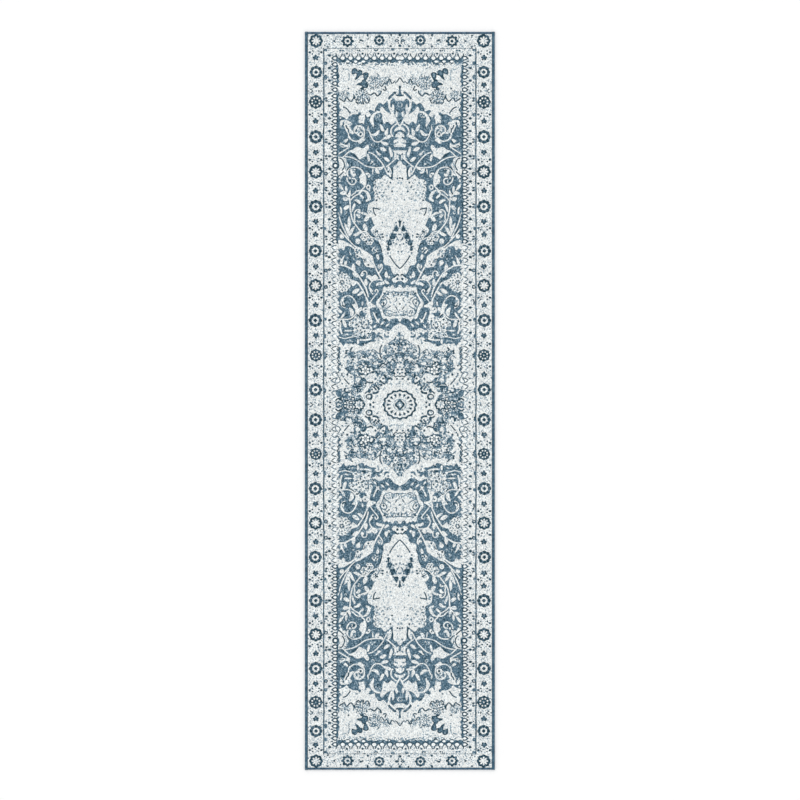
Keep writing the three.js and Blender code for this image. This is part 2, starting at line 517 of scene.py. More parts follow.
blob(BLUE, (15.7, 130.5), (16.2, 129.7), (15.6, 129.2), (15.1, 129.5), (15.2, 130.3))
dots(SLATE, 0.42, (21.2, 130.5), (18, 134.9))
stem(MIST, 0.52, (21.3, 138.4), (20.9, 136), (21.1, 133.8))
stem(MIST, 0.52, (23.6, 138.7), (22.4, 138.3), (21.4, 138.8))
stem(MIST, 0.47, (12.9, 139.6), (11.2, 138.9), (10.3, 138.6))
stem(MIST, 0.52, (9.6, 136.8), (8.6, 135.9), (8.1, 135))
for x, y, size in [(22.7, 127.8, 1.9), (5.3, 133.6, 1.8)]:
    stippled_rose(x, y, size, (MIST, STONE, BLUE, MIST), 0.3)
stippled_rose(10.2, 132.9, 2.9, (SLATE, BLUE, MIST, BLUE), 0.38)
stippled_rose(15.6, 127.2, 3, (SLATE, BLUE, SLATE, MIST), 0.42)
stem(SLATE, 0.55, (25, 126.6), (24.3, 125.9), (23.7, 125.7), (22.9, 125.1), (22.5, 126.3), (21.8, 126.7),
     (21, 125.8), (20.1, 125.2), (19.2, 126.4), (18.9, 127.4), steps=2)
stem(SLATE, 0.5, (19.2, 128.2), (18.7, 127.2), (18.6, 126.2), (18, 125.9), (18.1, 124.9), (17.2, 124.1),
     (16.5, 124.7), (16.2, 125.4), (15.7, 124.1), (15, 124.6), (14.7, 125.6), (13.9, 124.5), (13.1, 124.6),
     (12.5, 125.6), (12.4, 126.8), steps=1)
stem(SLATE, 0.6, (12.3, 127.7), (11.5, 128.2), (10.6, 128.7), (10, 128.3), (9.3, 127.4), (8.6, 127.9),
     (7.9, 128.6), (7.7, 129.7), steps=2)
blob(MIST, (9, 129.6), (8.4, 129.8), (7.9, 129), (8.7, 128.3))
stem(SLATE, 0.55, (7, 130.2), (6.3, 129.8), (5.6, 130.1), (5.9, 130.8), (6.2, 131.6), steps=2)
stem(SLATE, 0.5, (7.3, 131.4), (6.9, 132.3), (6.4, 133), (5.4, 132.4), (4.9, 133), (4.7, 134), (4.4, 134.5),
     (3.9, 133.7), (3.2, 132.6), (2.6, 133), (2.1, 133.6), (1.8, 132.8), (1, 133.6), (0.6, 134.3),
     (0.2, 134.9), (0, 134.9), steps=1)
stem(BLUE, 0.52, (12.1, 135.6), (11.4, 134.6), (11, 134.2), (10.3, 134.7), (9.7, 135), (9, 134.7), steps=1)
stem(SLATE, 0.54, (23.2, 122.9), (22, 122.3), (21.2, 121.3), (20.4, 120.2))
dots(BLUE, 0.37, (17.7, 121.4), (23.2, 122.9))
patch(SLATE, (0, 131.8), (0.5, 131.6), (0.5, 131), (0.3, 130.2), (0, 130.2))
patch(BLUE, (0, 130.6), (0.32, 130.4), (0.45, 129), (0.8, 128.2), (1.3, 127.9), (0.6, 127.4), (0, 127.3))
stem(SLATE, 0.95, (4.7, 126.2), (3.9, 127.2), (3, 128), (2.2, 128.8), (1.5, 128.7))
stem(BLUE, 0.57, (4.3, 126.6), (3.6, 127.4), (2.9, 128.1), (2.3, 128.6))
stem(SLATE, 0.52, (1.6, 128), (0.9, 127.5), (0, 127.4))
laid("spandrel")

# %% Blue ground
patch(BLUE, (26, 0), (25.4, 12), (26, 30), (26, 120.4), (25, 119.3), (23.6, 118.9), (22.6, 118.3),
      (22.1, 117.7), (21.4, 118.2), (21.2, 118.9), (20.2, 119.4), (19.4, 119.9), (18.2, 119.9), (17.3, 120),
      (16.8, 120.8), (16.1, 120.6), (16, 119.7), (16.9, 119.2), (17.1, 118.3), (16.5, 117.8), (17, 117.3),
      (16.9, 116.3), (15.6, 116.3), (14.8, 115.7), (14.7, 117.2), (14.3, 118.2), (14.5, 119.8), (14.1, 119.8),
      (13.8, 119), (13.2, 118.6), (12.2, 119.3), (11.9, 119.7), (12.4, 120.4), (13, 121.3), (12.2, 121.8),
      (11.2, 121.4), (10.3, 121.1), (10.2, 122.4), (9.5, 123.4), (8.9, 124.4), (7.9, 124.6), (6.9, 123.9),
      (6.2, 124.5), (5.2, 125.5), (4.9, 124.6), (4.6, 123.4), (4.3, 121.9), (3.6, 120), (2.2, 118.2),
      (2.6, 120.4), (2.3, 122.2), (2.4, 123.6), (3, 124.2), (3.3, 122.6), (3.9, 122.9), (4, 124.4),
      (3.8, 125.6), (3.2, 126.1), (2.6, 126.5), (1.8, 125.6), (0.9, 125.4), (0, 125.6), (0, 0))
blob(BLUE, (25.4, 125.2), (24.8, 124.8), (24.9, 123.8), (25.4, 123.4))
blob(BLUE, (25.4, 122.6), (24.4, 122.2), (24.4, 121.4), (25.4, 120.7))
blob(BLUE, (25.4, 129.6), (24.9, 128.8), (25.1, 127.9), (25.5, 127.6))
laid("blue ground")

# %% Leaves beside the border
patch(IVORY, (25.4, 120.2), (24.6, 120.4), (24.2, 119.7), (24.9, 119.4))
patch(IVORY, (24.9, 118.6), (24.3, 118.7), (24.2, 118.1), (24.8, 118))
patch(IVORY, (24.7, 114.6), (24.8, 116.6), (24.2, 117.5), (22.4, 117.5), (21.2, 117.2), (20, 116.5),
      (19.7, 115.7), (20.6, 115.1), (20.2, 113.9), (19.5, 113), (18.7, 112), (19.5, 111.7), (20.4, 112.1),
      (20.8, 112.6), (21, 111.4), (20.5, 110.2), (20.8, 109.4), (21.3, 110.4), (21.5, 112), (22, 112.6),
      (22.9, 114.6), (23.4, 115.4), (23.9, 115.6), (24.3, 114.6))
blob(BLUE, (23.3, 116.9), (23.7, 116.2), (23.4, 115.2), (22.9, 116))
stem(SLATE, 0.57, (22.3, 115.5), (21.9, 114.3), (21.3, 113.7), (21.2, 112.3))
dots(MIST, 0.37, (21.1, 115.8), (20.3, 115.9))
# a coiled rose
stem(IVORY, 0.55, (15, 109.9), (14.7, 111.6), (14.7, 113.2), (15.3, 114.6), (16.8, 115.2), (18.2, 114.8),
     (18.9, 113.6), (18.5, 112.4), (17.4, 111.7), (17, 110.9))
disc(STONE, 16.8, 113.4, 1.75)
for x, y, tall in [
    (17.9, 113.2, 1.7), (16.5, 114.3, 0.8), (15.6, 113.1, 1.3), (16.7, 112.7, 0.7), (16.1, 113.5, 1),
]:
    disc(BLUE, x, y, 0.42, tall=tall, sides=8)
disc(IVORY, 16.1, 111.6, 1)
disc(SLATE, 16.2, 111.7, 0.5, tall=1.2, sides=8)
stem(IVORY, 0.5, (20.9, 110.8), (20.2, 109.6), (19, 108.9), (17.6, 108.8), (16.4, 109.4), (15.3, 110.4))
blob(IVORY, (23.3, 108.9), (22.3, 109.6), (21.5, 109.8), (21.4, 108.8), (22.2, 108.1))
blob(IVORY, (17.4, 108.8), (16.4, 109.6), (15.2, 109.9), (14.4, 109.2), (15.4, 108.5), (16.2, 107.8),
     (17, 107.9))
# leafy twig towards the border
blob(IVORY, (25.2, 108.5), (24, 107.9), (22.6, 107.3), (21.6, 107.4), (20.9, 108.2), (20.6, 107), (20.9, 106),
     (22.2, 106.4), (23.6, 106.2), (24.8, 106.9))
stem(SLATE, 0.47, (21.1, 109.2), (21.9, 108.2), (22.4, 107.6))
stem(BLUE, 0.47, (24.6, 106.8), (23.8, 106.9), (23.2, 106.6))
laid("leaves beside the border")

# %% Round vine
patch(IVORY, (8.2, 121), (8, 122.4), (7.4, 123.1), (6.8, 122.6), (6.2, 121.6), (5.4, 120.9), (4.4, 120.3),
      (3.6, 119.9), (2.7, 119.7), (2.2, 118.8), (1.6, 117.4), (2.2, 116.5), (3, 115.9), (3.6, 115.6),
      (4.3, 116.3), (4.8, 116.8), (5.8, 116.7), (6.2, 116.1), (6.8, 116.1), (7, 117.2), (7.3, 118.4),
      (7.2, 119.4), (7.6, 120.2))
stem(IVORY, 0.65, (0, 126.9), (1.6, 127), (3.2, 126.5), (4.3, 125.4), (4.5, 123.8), (4.2, 122.2),
     (3.4, 120.9), (2.4, 119.4), (1.7, 118), (1.1, 116.7), (0.5, 115.6), (0, 115))
leaf(IVORY, 2.9, 120.2, 2.8, 123.8, 0.85)
leaf(IVORY, 1.4, 118.6, 1.3, 121.4, 1.2)
disc(MIST, 0, 123.8, 1.2, tall=0.95, sides=12)
disc(BLUE, 0, 123.8, 0.65, sides=9)
dots(STONE, 0.3, (0.9, 120.5), (3.5, 121.9))
patch(IVORY, (8.1, 121.2), (9.6, 121.2), (10.6, 120.6), (11.8, 119.4), (12.6, 117.3), (12, 116.3),
      (11.3, 115.2), (10.9, 114.4), (10.6, 115.3), (10.9, 117), (10.9, 118.4), (10.2, 119.8), (9.3, 120.4),
      (8.1, 120.5))
spiral(MIST, 9, 119.2, 1.15, 0.5, turns=1.3, start=-60)
leaf(IVORY, 13.3, 112.9, 13, 115.4, 0.55)
stem(IVORY, 0.5, (12.9, 113.4), (12.3, 112), (11.9, 110.8), (11.3, 109.7), (10.6, 108.9), (9.6, 108.5),
     (8.3, 108.6), (7.3, 109.3), (6.4, 110.1), (5.4, 110.6))
blob(IVORY, (12, 111.7), (11, 111.8), (10.1, 112.2), (9.4, 113), (8.4, 113.4), (8.6, 112.2), (9.4, 111.2),
     (10.8, 110.9))
blob(IVORY, (8.3, 115.8), (7.4, 115.3), (6.8, 114.3), (6.4, 113), (7.2, 112.9), (7.9, 113.7))
blob(IVORY, (4.9, 114.3), (5.6, 113.5), (6.3, 112.6), (6.1, 111.4), (5.4, 110.9), (4.9, 112))
blob(IVORY, (6.6, 109.8), (5.4, 110.9), (4.2, 111.5), (3.5, 110.7), (4.4, 110), (5.8, 109.5))
spiral(MIST, 11.3, 107.4, 0.95, 0.42, turns=1.1, start=90)
blob(IVORY, (8, 108.6), (6.8, 108.6), (5.2, 108.2), (4.7, 107.4), (5.8, 107), (7, 107.4))
laid("round vine")

# %% Tree on the middle line
stem(IVORY, 0.6, (0.8, 116.2), (2.4, 115.2), (3.4, 114), (3.7, 112.6), (3.4, 111.4), (2.8, 110.7))
blob(IVORY, (-0.4, 114.9), (0.8, 114.6), (1.9, 113.9), (2.3, 112.8), (1.4, 113), (0.6, 113.5), (-0.4, 113.5))
patch(IVORY, (0, 112.7), (0.9, 112.3), (1.7, 111.5), (1.9, 110.5), (1.1, 110.2), (1.4, 109.6), (2.4, 109.2),
      (2.7, 108.3), (2, 107.9), (2.5, 107.2), (2.3, 106.4), (0, 106.5))
dots(STONE, 0.5, (0.5, 109.8), (0.9, 108.2))
dots(BLUE, 0.37, (1.1, 110.3), (1.7, 108))
# forked foot of the tree
patch(IVORY, (0, 105), (3, 104.9), (2.3, 104.2), (2.3, 102.2), (3.2, 101.2), (1.8, 101.6), (1.4, 102.6),
      (1.3, 104), (0.7, 103.6), (0.4, 103.2), (0, 103.4))
patch(IVORY, (0.5, 103), (1.2, 103.2), (1.4, 101.8), (0.5, 100.9))
stem(IVORY, 0.55, (1.2, 102), (2.4, 100.9), (3.6, 99.8), (4.6, 98.9), (5.7, 98.2))
blob(IVORY, (4.5, 106.4), (3.9, 106.2), (3.4, 104.9), (2.9, 103.6), (3, 102.6), (3.6, 102.2), (4.1, 103.4),
     (4.5, 105))
blob(IVORY, (6.7, 102.1), (5.7, 102.2), (4.8, 101.6), (4.2, 100.6), (5, 100.3), (6, 100.9))
blob(IVORY, (8.3, 106), (7.2, 106.4), (6.2, 105.9), (5.5, 105), (6.4, 104.6), (7.6, 105))
blob(IVORY, (10.2, 104.8), (9.4, 104), (9.2, 103.2), (8.3, 102.9), (7.7, 103.4), (8.8, 104.1), (9.4, 104.8))
blob(IVORY, (8.9, 96.9), (8.2, 97.8), (6.9, 97.9), (7.6, 97))
laid("tree on the middle line")

# %% Winged palmette
blob(IVORY, (20.4, 104.4), (19.4, 105.3), (18.2, 106.2), (16.9, 106.3), (15.6, 105.8), (14.7, 106),
     (13.9, 107), (13.1, 107.2), (12.7, 106.3), (13.1, 105.2), (13.7, 104.4), (13.8, 102.8), (15, 102.2),
     (16.6, 101.3), (17.4, 102), (18.4, 103.4))
blob(IVORY, (13.5, 103.4), (12.9, 103.3), (12.4, 102), (12.4, 100.9), (12.9, 100.4), (13.4, 101.8))
stem(IVORY, 0.5, (13, 104.2), (11.4, 103.7), (9.9, 102.6), (8.6, 101.2), (7.4, 99.8), (6.4, 98), (5.5, 96.2),
     (4.9, 95))
stem(IVORY, 0.5, (22.6, 102.5), (20.6, 102.2), (18.6, 101.5), (16.8, 100.4), (15.2, 99.2), (13.6, 98.4),
     (11.6, 98), (9.4, 97.8), (7.6, 98), (6.4, 98.3))
stem(IVORY, 0.5, (26, 102.6), (25.2, 103.6), (23.6, 104.6), (22, 105.6), (20.8, 106.3))
stem(IVORY, 0.5, (23.6, 102), (22.4, 103.2), (20.8, 104.6), (19.4, 105))
dots(MIST, 0.47, (11.4, 100.3), (10.5, 99.4), (12, 99.6))
leaf(SLATE, 20.6, 103.9, 16.9, 101.6, 0.9)
leaf(IVORY, 11, 97.6, 11.4, 95, 0.6)
laid("winged palmette")

# %% [markdown]
# ### Middle of the field
# A tall ivory pendant hangs on the middle line, with a small flowered palmette inside it. Coils,
# crescents and sprays of leaves fill the blue beside it. A shape on the middle line is drawn as
# its outer half only, down to x = 0, and the mirror completes it. The pendant's worn flecks could
# be strewn at random. A sine of the fleck's number spreads them as evenly and always the same.

# %% Pendant
patch(IVORY, (0, 100.9), (0.8, 100.2), (1.2, 99.1), (2.3, 98.8), (2.8, 97.6), (2.6, 96.2), (2.9, 95),
      (2.8, 93.6), (3.4, 92.9), (4.2, 93.6), (5.2, 94.3), (6, 94.9), (6.7, 94.6), (7.3, 93.8), (8, 93),
      (8.9, 93.3), (9.9, 92.9), (10.7, 92.2), (11, 91.5), (10.4, 90.6), (11, 89.4), (10.9, 88.4),
      (10.3, 87.8), (10.6, 86.8), (10.2, 86.2), (10.8, 85.5), (10.2, 84.7), (10.8, 84), (12, 83.5),
      (13, 82.7), (13.3, 81.4), (13.4, 79.6), (12.9, 78.4), (11.9, 77.3), (11.3, 76), (10.8, 74.7),
      (10.4, 73.9), (11.3, 73.3), (12.1, 72.2), (11.6, 71), (10.7, 70.2), (9.8, 69.2), (8.9, 67.8),
      (8.2, 66.2), (7.7, 64.4), (7.3, 62.4), (6.6, 60.6), (6.9, 59), (6.2, 57.8), (4.3, 57.4), (3.6, 56.4),
      (3.4, 55.2), (2.6, 53.9), (0, 53.7))
blob(IVORY, (4.9, 98.4), (4.1, 97.8), (3.5, 96.7), (3.4, 95.2), (3.7, 94), (4.6, 94.4), (5.1, 95.4),
     (5.1, 96.8))
stem(SLATE, 0.52, (3.2, 97.9), (3.1, 95.6), (3.4, 93.8), (3, 92.8))
stem(BLUE, 0.47, (4.9, 94.9), (4.3, 93.9), (3.6, 93.2))
dots(SLATE, 0.43, (3.9, 91.7), (9.6, 84.4), (1, 93.4), (0, 93.6), (3.2, 88.1), (6.6, 87.5))
dots(MIST, 0.49, (1, 98.2), (4.7, 96.2), (2.9, 89.6), (4.6, 89.7), (8.4, 87.6), (5.2, 85.2), (4, 85.3),
     (6.5, 84.4), (7, 86.1), (10, 91.8), (8, 91.6), (7.2, 90.6), (9.2, 90), (0.6, 91.6), (9.3, 86.9))
stem(SLATE, 0.55, (11.2, 81.3), (10, 81), (9, 80.9), (8.3, 80.5))
stem(SLATE, 0.5, (11, 81.1), (10.8, 79.9), (10.5, 79), (9.9, 78.1))
disc(STONE, 12.3, 80.2, 0.8, tall=1.6)
# small palmette inside
blob(SLATE, (0.95, 76.3), (0.4, 75.9), (0, 76.6), (-0.4, 75.9), (-0.95, 76.3), (-0.4, 74.8), (-0.3, 73.4),
     (0.3, 73.4), (0.4, 74.8))
for x, y, size in [(1.5, 72.6, 0.85), (3, 69.6, 1.1), (4.2, 66.9, 0.95), (4.7, 64.3, 0.6)]:
    disc(MIST, x, y, size * 1.3, tall=1.15)
    disc(SLATE, x, y - 0.1, size, tall=1.2, lobes=3, depth=0.16, turn=pi / 2)
    leaf(SLATE, x, y, x - 0.1, y + 1.9, 0.7)
dots(BLUE, 0.4, (4.2, 66.9), (1.6, 75.2), (2.7, 71.8), (0.3, 70.3), (1.6, 70.4), (2.8, 67.8), (2.6, 66.9),
     (1.5, 66.4), (5.3, 69.8), (5.3, 67.6), (5.4, 65.3), (1, 68.4), (4.9, 62.6), (4, 61.3), (0.7, 63.2),
     (0, 66))
dots(MIST, 0.4, (6.3, 73.4), (7.2, 75.2), (8.2, 79.2), (3.6, 79.7), (6.9, 80.3), (3.8, 78), (5.6, 76),
     (1.9, 84.6))
stem(SLATE, 0.5, (4, 61.2), (3.4, 60.2), (2.2, 58.5), (0.9, 57), (0, 56.2))
stem(BLUE, 0.4, (2, 70.6), (1.2, 69), (0.4, 67.6))
for k in range(26):
    x, y = 4.6 + 5.6 * abs(sin(2.4 * k)), 84.8 + 0.32 * k
    stem((MIST, BLUE, MIST, SLATE)[k % 4], 0.36, (x - 0.4 * cos(k), y - 0.4 * sin(k)),
         (x + 0.4 * cos(k), y + 0.4 * sin(k)), steps=1)
laid("pendant")

# %% Coils
stem(IVORY, 0.55, (21.4, 94.2), (21.7, 95.6), (21.4, 96.9), (20.5, 97.8), (19, 98.1), (17.2, 97.8),
     (15.8, 96.9), (14.8, 95.5), (14.2, 93.8), (14.1, 91.8), (14.4, 90.2), (15.3, 89.2), (16.2, 88.2),
     (17, 87.1))
patch(IVORY, (16.2, 97), (15.6, 95.4), (16.4, 94.7), (16.9, 93.9), (16.4, 93.2), (16.6, 92.2), (16.2, 91.3),
      (15.4, 91), (14.6, 90.1), (14, 91.6), (14.1, 94.2), (14.9, 96))
blob(IVORY, (20.5, 97), (20.3, 95.5), (19.8, 94.5), (19, 94.1), (18.2, 94.8), (18.4, 95.5), (19.2, 95.4),
     (19.4, 96.3), (20, 97.2))
spiral(STONE, 19, 96.5, 0.9, 0.35, turns=1, start=30)
stem(IVORY, 0.55, (21.9, 93.8), (21.7, 92.6), (21.1, 91.7), (20.3, 91), (19.2, 90.9), (18.3, 91.6),
     (18.1, 92.6), (18.8, 93.4), (19.8, 93.4))
dots(IVORY, 0.5, (20.7, 93.6))
dots(SLATE, 0.47, (20.6, 92.5), (19.2, 92.3))
stem(IVORY, 0.35, (19.9, 92.8), (19.6, 92.2), (19.9, 91.8))
blob(IVORY, (10.3, 97.4), (9.4, 97.5), (8.8, 96.7), (8.3, 95.6), (9.2, 95.4), (10, 96))
blob(IVORY, (14.3, 95.6), (13.2, 95.8), (12.3, 95.1), (12.2, 94.2), (13, 93.7), (13.2, 94.4), (13.8, 94.9))
dots(BLUE, 0.35, (13.1, 94.9))
disc(IVORY, 13, 89.8, 0.95, tall=1.15)
disc(BLUE, 13, 89.8, 0.45, tall=1.3, sides=8)
stem(MIST, 0.52, (12.1, 89.3), (12.3, 88.6), (12.9, 88.2))
laid("coils")

# %% Border crescents
patch(IVORY, (26, 102.5), (23.4, 102.2), (22.1, 101.5), (21.9, 100.1), (21, 98.9), (21.7, 97.8), (22.1, 96.4),
      (21.9, 95), (22.6, 94.4), (23.5, 94.6), (23.9, 93.6), (24.7, 92.9), (24.2, 92.2), (25, 91.8),
      (25.5, 93), (25.3, 94.6), (25.9, 96.8), (25, 98), (25, 100))
stem(SLATE, 0.5, (25, 101.9), (23.9, 101.4), (23.3, 100.4), (22.8, 99), (23.1, 97.8), (23.9, 96.7))
stem(SLATE, 0.5, (23.2, 96.3), (24, 95.4), (25.2, 94.4), (25.8, 93.6))
stem(STONE, 0.6, (22.7, 101.4), (22.2, 99.6), (22.4, 97.4), (22.5, 95.4))
stem(MIST, 0.42, (22.1, 100.6), (22.1, 98.4), (22.6, 97.8))
stem(SLATE, 0.47, (20.1, 98.2), (21.2, 97.6), (21.8, 96.8))
laid("border crescents")

# %% Leaf spray
blob(IVORY, (25.2, 91.2), (24.2, 90.6), (23.6, 89.6), (23, 88.3), (23.9, 88.8), (24.9, 89.6))
blob(IVORY, (22.3, 90.4), (21.8, 89.7), (21.6, 88.6), (21.9, 87.7), (22.5, 88.3), (22.6, 89.5))
blob(IVORY, (24.8, 87.3), (23.9, 88), (22.8, 88.2), (21.9, 87.5), (20.8, 87.3), (21.2, 86.4), (22.4, 86.7),
     (23.6, 86.6))
leaf(IVORY, 20.9, 85.4, 20.5, 88.9, 0.95)
blob(IVORY, (23.6, 85.2), (22.6, 85.7), (21.4, 85.4), (20.8, 84.9), (21.6, 84.3), (22.9, 84.1))
dots(SLATE, 0.37, (21.7, 87.1))
stem(IVORY, 0.55, (22, 86.5), (20.9, 85.6), (20.6, 84), (20.5, 82.2), (20.5, 80.4), (20.1, 78.6), (19.8, 77),
     (19.1, 75.5), (18.3, 74.3), (17.4, 73.1), (16.6, 72.1), (15.6, 71.5), (14.2, 71.4), (13.2, 70.7),
     (12, 69.6), (10.8, 68.9), (9.6, 68.2))
stem(IVORY, 0.5, (20.3, 84.4), (19.5, 85.4), (18.4, 86.3), (17.2, 86.9), (16.4, 87.4), (15.6, 88.3),
     (14.6, 88.5))
stem(IVORY, 0.5, (20, 86.3), (19.1, 87), (18.1, 88), (17, 88.4), (16.2, 88.4))
blob(IVORY, (15.2, 88.5), (13.9, 88.4), (12.8, 87.5), (12.2, 86.2), (11.9, 84.9), (12.8, 84.2), (13.9, 83.7),
     (14, 84.5), (13.3, 85.1), (13.6, 86.2), (14.1, 87.4))
blob(IVORY, (16.8, 87), (15.8, 86.6), (14.9, 85.7), (15.2, 85), (15.9, 85.5), (16.5, 86.1))
blob(IVORY, (19.1, 84.4), (18, 84.8), (16.8, 84.4), (16.1, 83.5), (16.5, 82.9), (17.3, 83.2), (18, 83.9))
blob(IVORY, (18.8, 83.3), (18.3, 82.5), (18.9, 81.2), (19.3, 80), (19.9, 79.6), (19.9, 80.9), (19.4, 82.2))
blob(IVORY, (24.7, 81.7), (24, 81.1), (23.8, 79.5), (24.1, 78.4), (24.6, 79.6))
blob(IVORY, (23.3, 81), (22.4, 82.1), (21.2, 82.4), (20.9, 81.6), (21.8, 80.6), (22.7, 80.4))
spiral(MIST, 22.6, 79.3, 0.8, 0.35, turns=1, start=60)
laid("leaf spray")

# %% Leaf fan
blob(IVORY, (20.9, 77.8), (20.5, 76.4), (20.3, 74.6), (20.6, 72.8), (21, 71.8), (21.4, 73.4), (21.6, 75.2),
     (21.4, 76.8))
blob(IVORY, (23, 75), (22, 74.3), (21.2, 73.4), (20.8, 71.6), (20.2, 70.1), (21, 69.6), (21.6, 70.6),
     (22.2, 72), (22.7, 73.6))
blob(IVORY, (18.6, 73.8), (18.8, 72.8), (19.5, 71.2), (20.3, 69.9), (20.9, 70.8), (20.3, 72.3), (19.5, 73.3))
dots(MIST, 0.37, (21.4, 73.4))
patch(IVORY, (15.4, 71.8), (16.8, 71.6), (17.8, 71), (18.8, 70.5), (19.3, 69.9), (18.2, 69.5), (17.2, 69.9),
      (16.4, 70.6), (15.2, 71))
blob(IVORY, (14.7, 74.8), (14, 74.3), (13.4, 73.2), (13.4, 71.9), (14.2, 71.6), (15, 72.6), (15.3, 73.8))
blob(IVORY, (16.2, 79), (15.4, 79.6), (14.2, 79.3), (13.3, 78.6), (12, 78), (11.2, 77.2), (12.2, 77.2),
     (13.2, 77.8), (14.6, 78.4))
blob(IVORY, (14.8, 75.9), (14.6, 76.9), (13.9, 77.9), (13.1, 78.2), (12.6, 77.4), (13.1, 76.3), (13.9, 75.7))
stem(IVORY, 0.5, (16.3, 80.2), (17.2, 80.6), (18.3, 80), (18.8, 78.8), (18.6, 77.6), (18.8, 76.4),
     (18.4, 75.4))
blob(IVORY, (18.3, 78.5), (17.2, 78.8), (16.4, 78.1), (16.4, 77.2), (17.1, 77), (17.6, 77.8))
blob(IVORY, (17.6, 79.7), (16.6, 80.3), (16.1, 79.4), (16.9, 79))
stem(STONE, 0.6, (18, 75.8), (17, 75.6), (16.2, 75.4))
dots(STONE, 0.4, (16.8, 74.9))
stem(IVORY, 0.5, (26, 80.9), (25.4, 79), (24.9, 77.2), (24.3, 75.2), (23.7, 73.6), (22.8, 71.8), (22, 70.2),
     (21.1, 68.7))
stem(IVORY, 0.6, (26, 73.9), (25, 72.7), (24, 71.3), (22.6, 69.6), (21.4, 68.3), (20, 66.9), (18.5, 65.5),
     (17.4, 64.6), (16.4, 64.2))
stem(SLATE, 0.52, (24.6, 73.6), (24, 72.2), (23.2, 71), (22.6, 70.2))
stem(SLATE, 0.47, (20.2, 67.6), (19.2, 66.6), (18.2, 65.7))
blob(IVORY, (24.9, 69.7), (24, 70.4), (23.2, 69.7), (23.2, 68.8), (24.3, 68.6))
patch(IVORY, (25.9, 67.9), (24.4, 68), (22.8, 67.6), (21.4, 66.7), (20, 65.9), (18.4, 64.5), (17.2, 63.9),
      (17.8, 63.2), (19.2, 64.4), (20.2, 65.2), (21.4, 65.6), (22.6, 65.3), (22.8, 64.2), (23.4, 63.7),
      (24.2, 64.6), (25, 64.4), (25.6, 65.6))
laid("leaf fan")

# %% Hanging roses
for x, y, size in [(14.5, 69.2, 1.7), (12.6, 67.6, 1.7), (10, 71.3, 1.3), (8.4, 69.3, 1.5)]:
    disc(IVORY, x, y, size, lobes=6, depth=0.1)
    disc(STONE, x, y, size * 0.6)
    for k in range(6):
        a = tau * k / 6 + x
        dots((SLATE, BLUE)[k % 2], 0.27, (x + 0.7 * size * cos(a), y + 0.7 * size * sin(a)))
    dots(SLATE, 0.37, (x, y))
disc(IVORY, 17.3, 67.5, 1, tall=1.1)
disc(STONE, 17.2, 67.4, 0.5)
dots(SLATE, 0.45, (13.9, 67.4), (9.4, 71.6), (7.2, 70.4), (7, 69.2))
stem(SLATE, 0.57, (12.6, 70.6), (11.8, 69.9), (10.6, 69.2))
stem(SLATE, 0.5, (9.9, 66.8), (8.9, 66.6), (8.2, 65.8), (7.8, 64.4), (7.4, 63))
blob(BLUE, (16.4, 66.4), (15.6, 67), (14.6, 67), (14.2, 66), (13.4, 64.8), (12.4, 64.9), (11.7, 65),
     (11.7, 63.8), (12, 62.8), (13.8, 63.4), (15.4, 64.8))
laid("hanging roses")

# %% [markdown]
# ### Lower field
# Between the pendant and the medallion the real rug has a slanting palmette, a large open flower,
# a closed coil and a small shield. The open flower has two rings of narrow petals, so it is drawn
# with a loop of leaves. The shield is four outlines, one inside the other, because its rim and
# its lining are bands of even colour.

# %% Striped palmette
patch(IVORY, (18.9, 64.6), (17.6, 65.2), (16.4, 64.9), (15, 63.8), (13.6, 63.1), (12.2, 62.1), (11.2, 61.3),
      (11, 60.2), (10.8, 59), (10.3, 57.8), (9.8, 56.8), (11.2, 56.5), (12.6, 56.8), (13.8, 56.9),
      (14.6, 57.8), (14.9, 59), (15.3, 60.2), (16.2, 61), (17.4, 60.5), (18.3, 61.2), (18.2, 62.4),
      (18.7, 63.4))
disc(STONE, 17.6, 63.3, 1, tall=1.2)
stem(BLUE, 0.42, (16.7, 64), (16.2, 63), (16.4, 62))
stem(MIST, 0.47, (14.4, 60.4), (14, 59.4), (13.5, 58.4))
stem(SLATE, 0.42, (15.3, 60.2), (14.6, 59.8), (14.4, 58.6))
dots(SLATE, 0.45, (17.5, 61.3), (13, 57.7))
disc(MIST, 12.2, 58.9, 0.5, tall=1.4)
disc(MIST, 15.8, 62, 0.5)
stem(IVORY, 0.6, (10.6, 57.6), (9.8, 56), (8.9, 54.3), (8.1, 52.8), (7.4, 51.4), (6.5, 50.2))
disc(IVORY, 17.2, 58.7, 0.95, lobes=5, depth=0.1)
blob(IVORY, (17.3, 57.9), (16.6, 58), (16.4, 57.3), (17, 57.3))
blob(IVORY, (9.8, 61.8), (8.9, 62), (8.5, 60.9), (8.8, 59.8), (9.5, 60.5))
disc(STONE, 10.2, 63.8, 1.35, lobes=5, depth=0.1)
dots(SLATE, 0.35, (10.8, 63.9), (10.2, 63.2), (9.6, 62.6), (9.9, 64.6), (9.3, 63.7))
laid("striped palmette")

# %% Stems and leaves
stem(IVORY, 0.65, (26.2, 57.4), (24.2, 57.6), (22.2, 57.2), (20.9, 56.5), (19.6, 55.8), (18.4, 54.8),
     (17.2, 53.4), (16.2, 51.9), (15.3, 50.4), (14.6, 49.2), (13.9, 47.8), (13.4, 46), (13.1, 44.4))
stem(IVORY, 0.6, (20.4, 51.6), (19, 51), (17.6, 50.5), (16.7, 49.4), (15.8, 48), (14.9, 46.4), (14.1, 44.7),
     (13.4, 43.2), (13, 42))
stem(SLATE, 0.52, (14.8, 47.6), (14.1, 46.4), (13.5, 44.4))
blob(IVORY, (19.2, 58.3), (19.8, 57.4), (19.9, 56), (19.2, 55), (18.5, 55.4), (18.4, 56.6), (18.7, 57.6))
blob(IVORY, (19.7, 54.3), (18.8, 54.6), (17.8, 54.2), (17.1, 53), (17.8, 52.5), (18.8, 53.1))
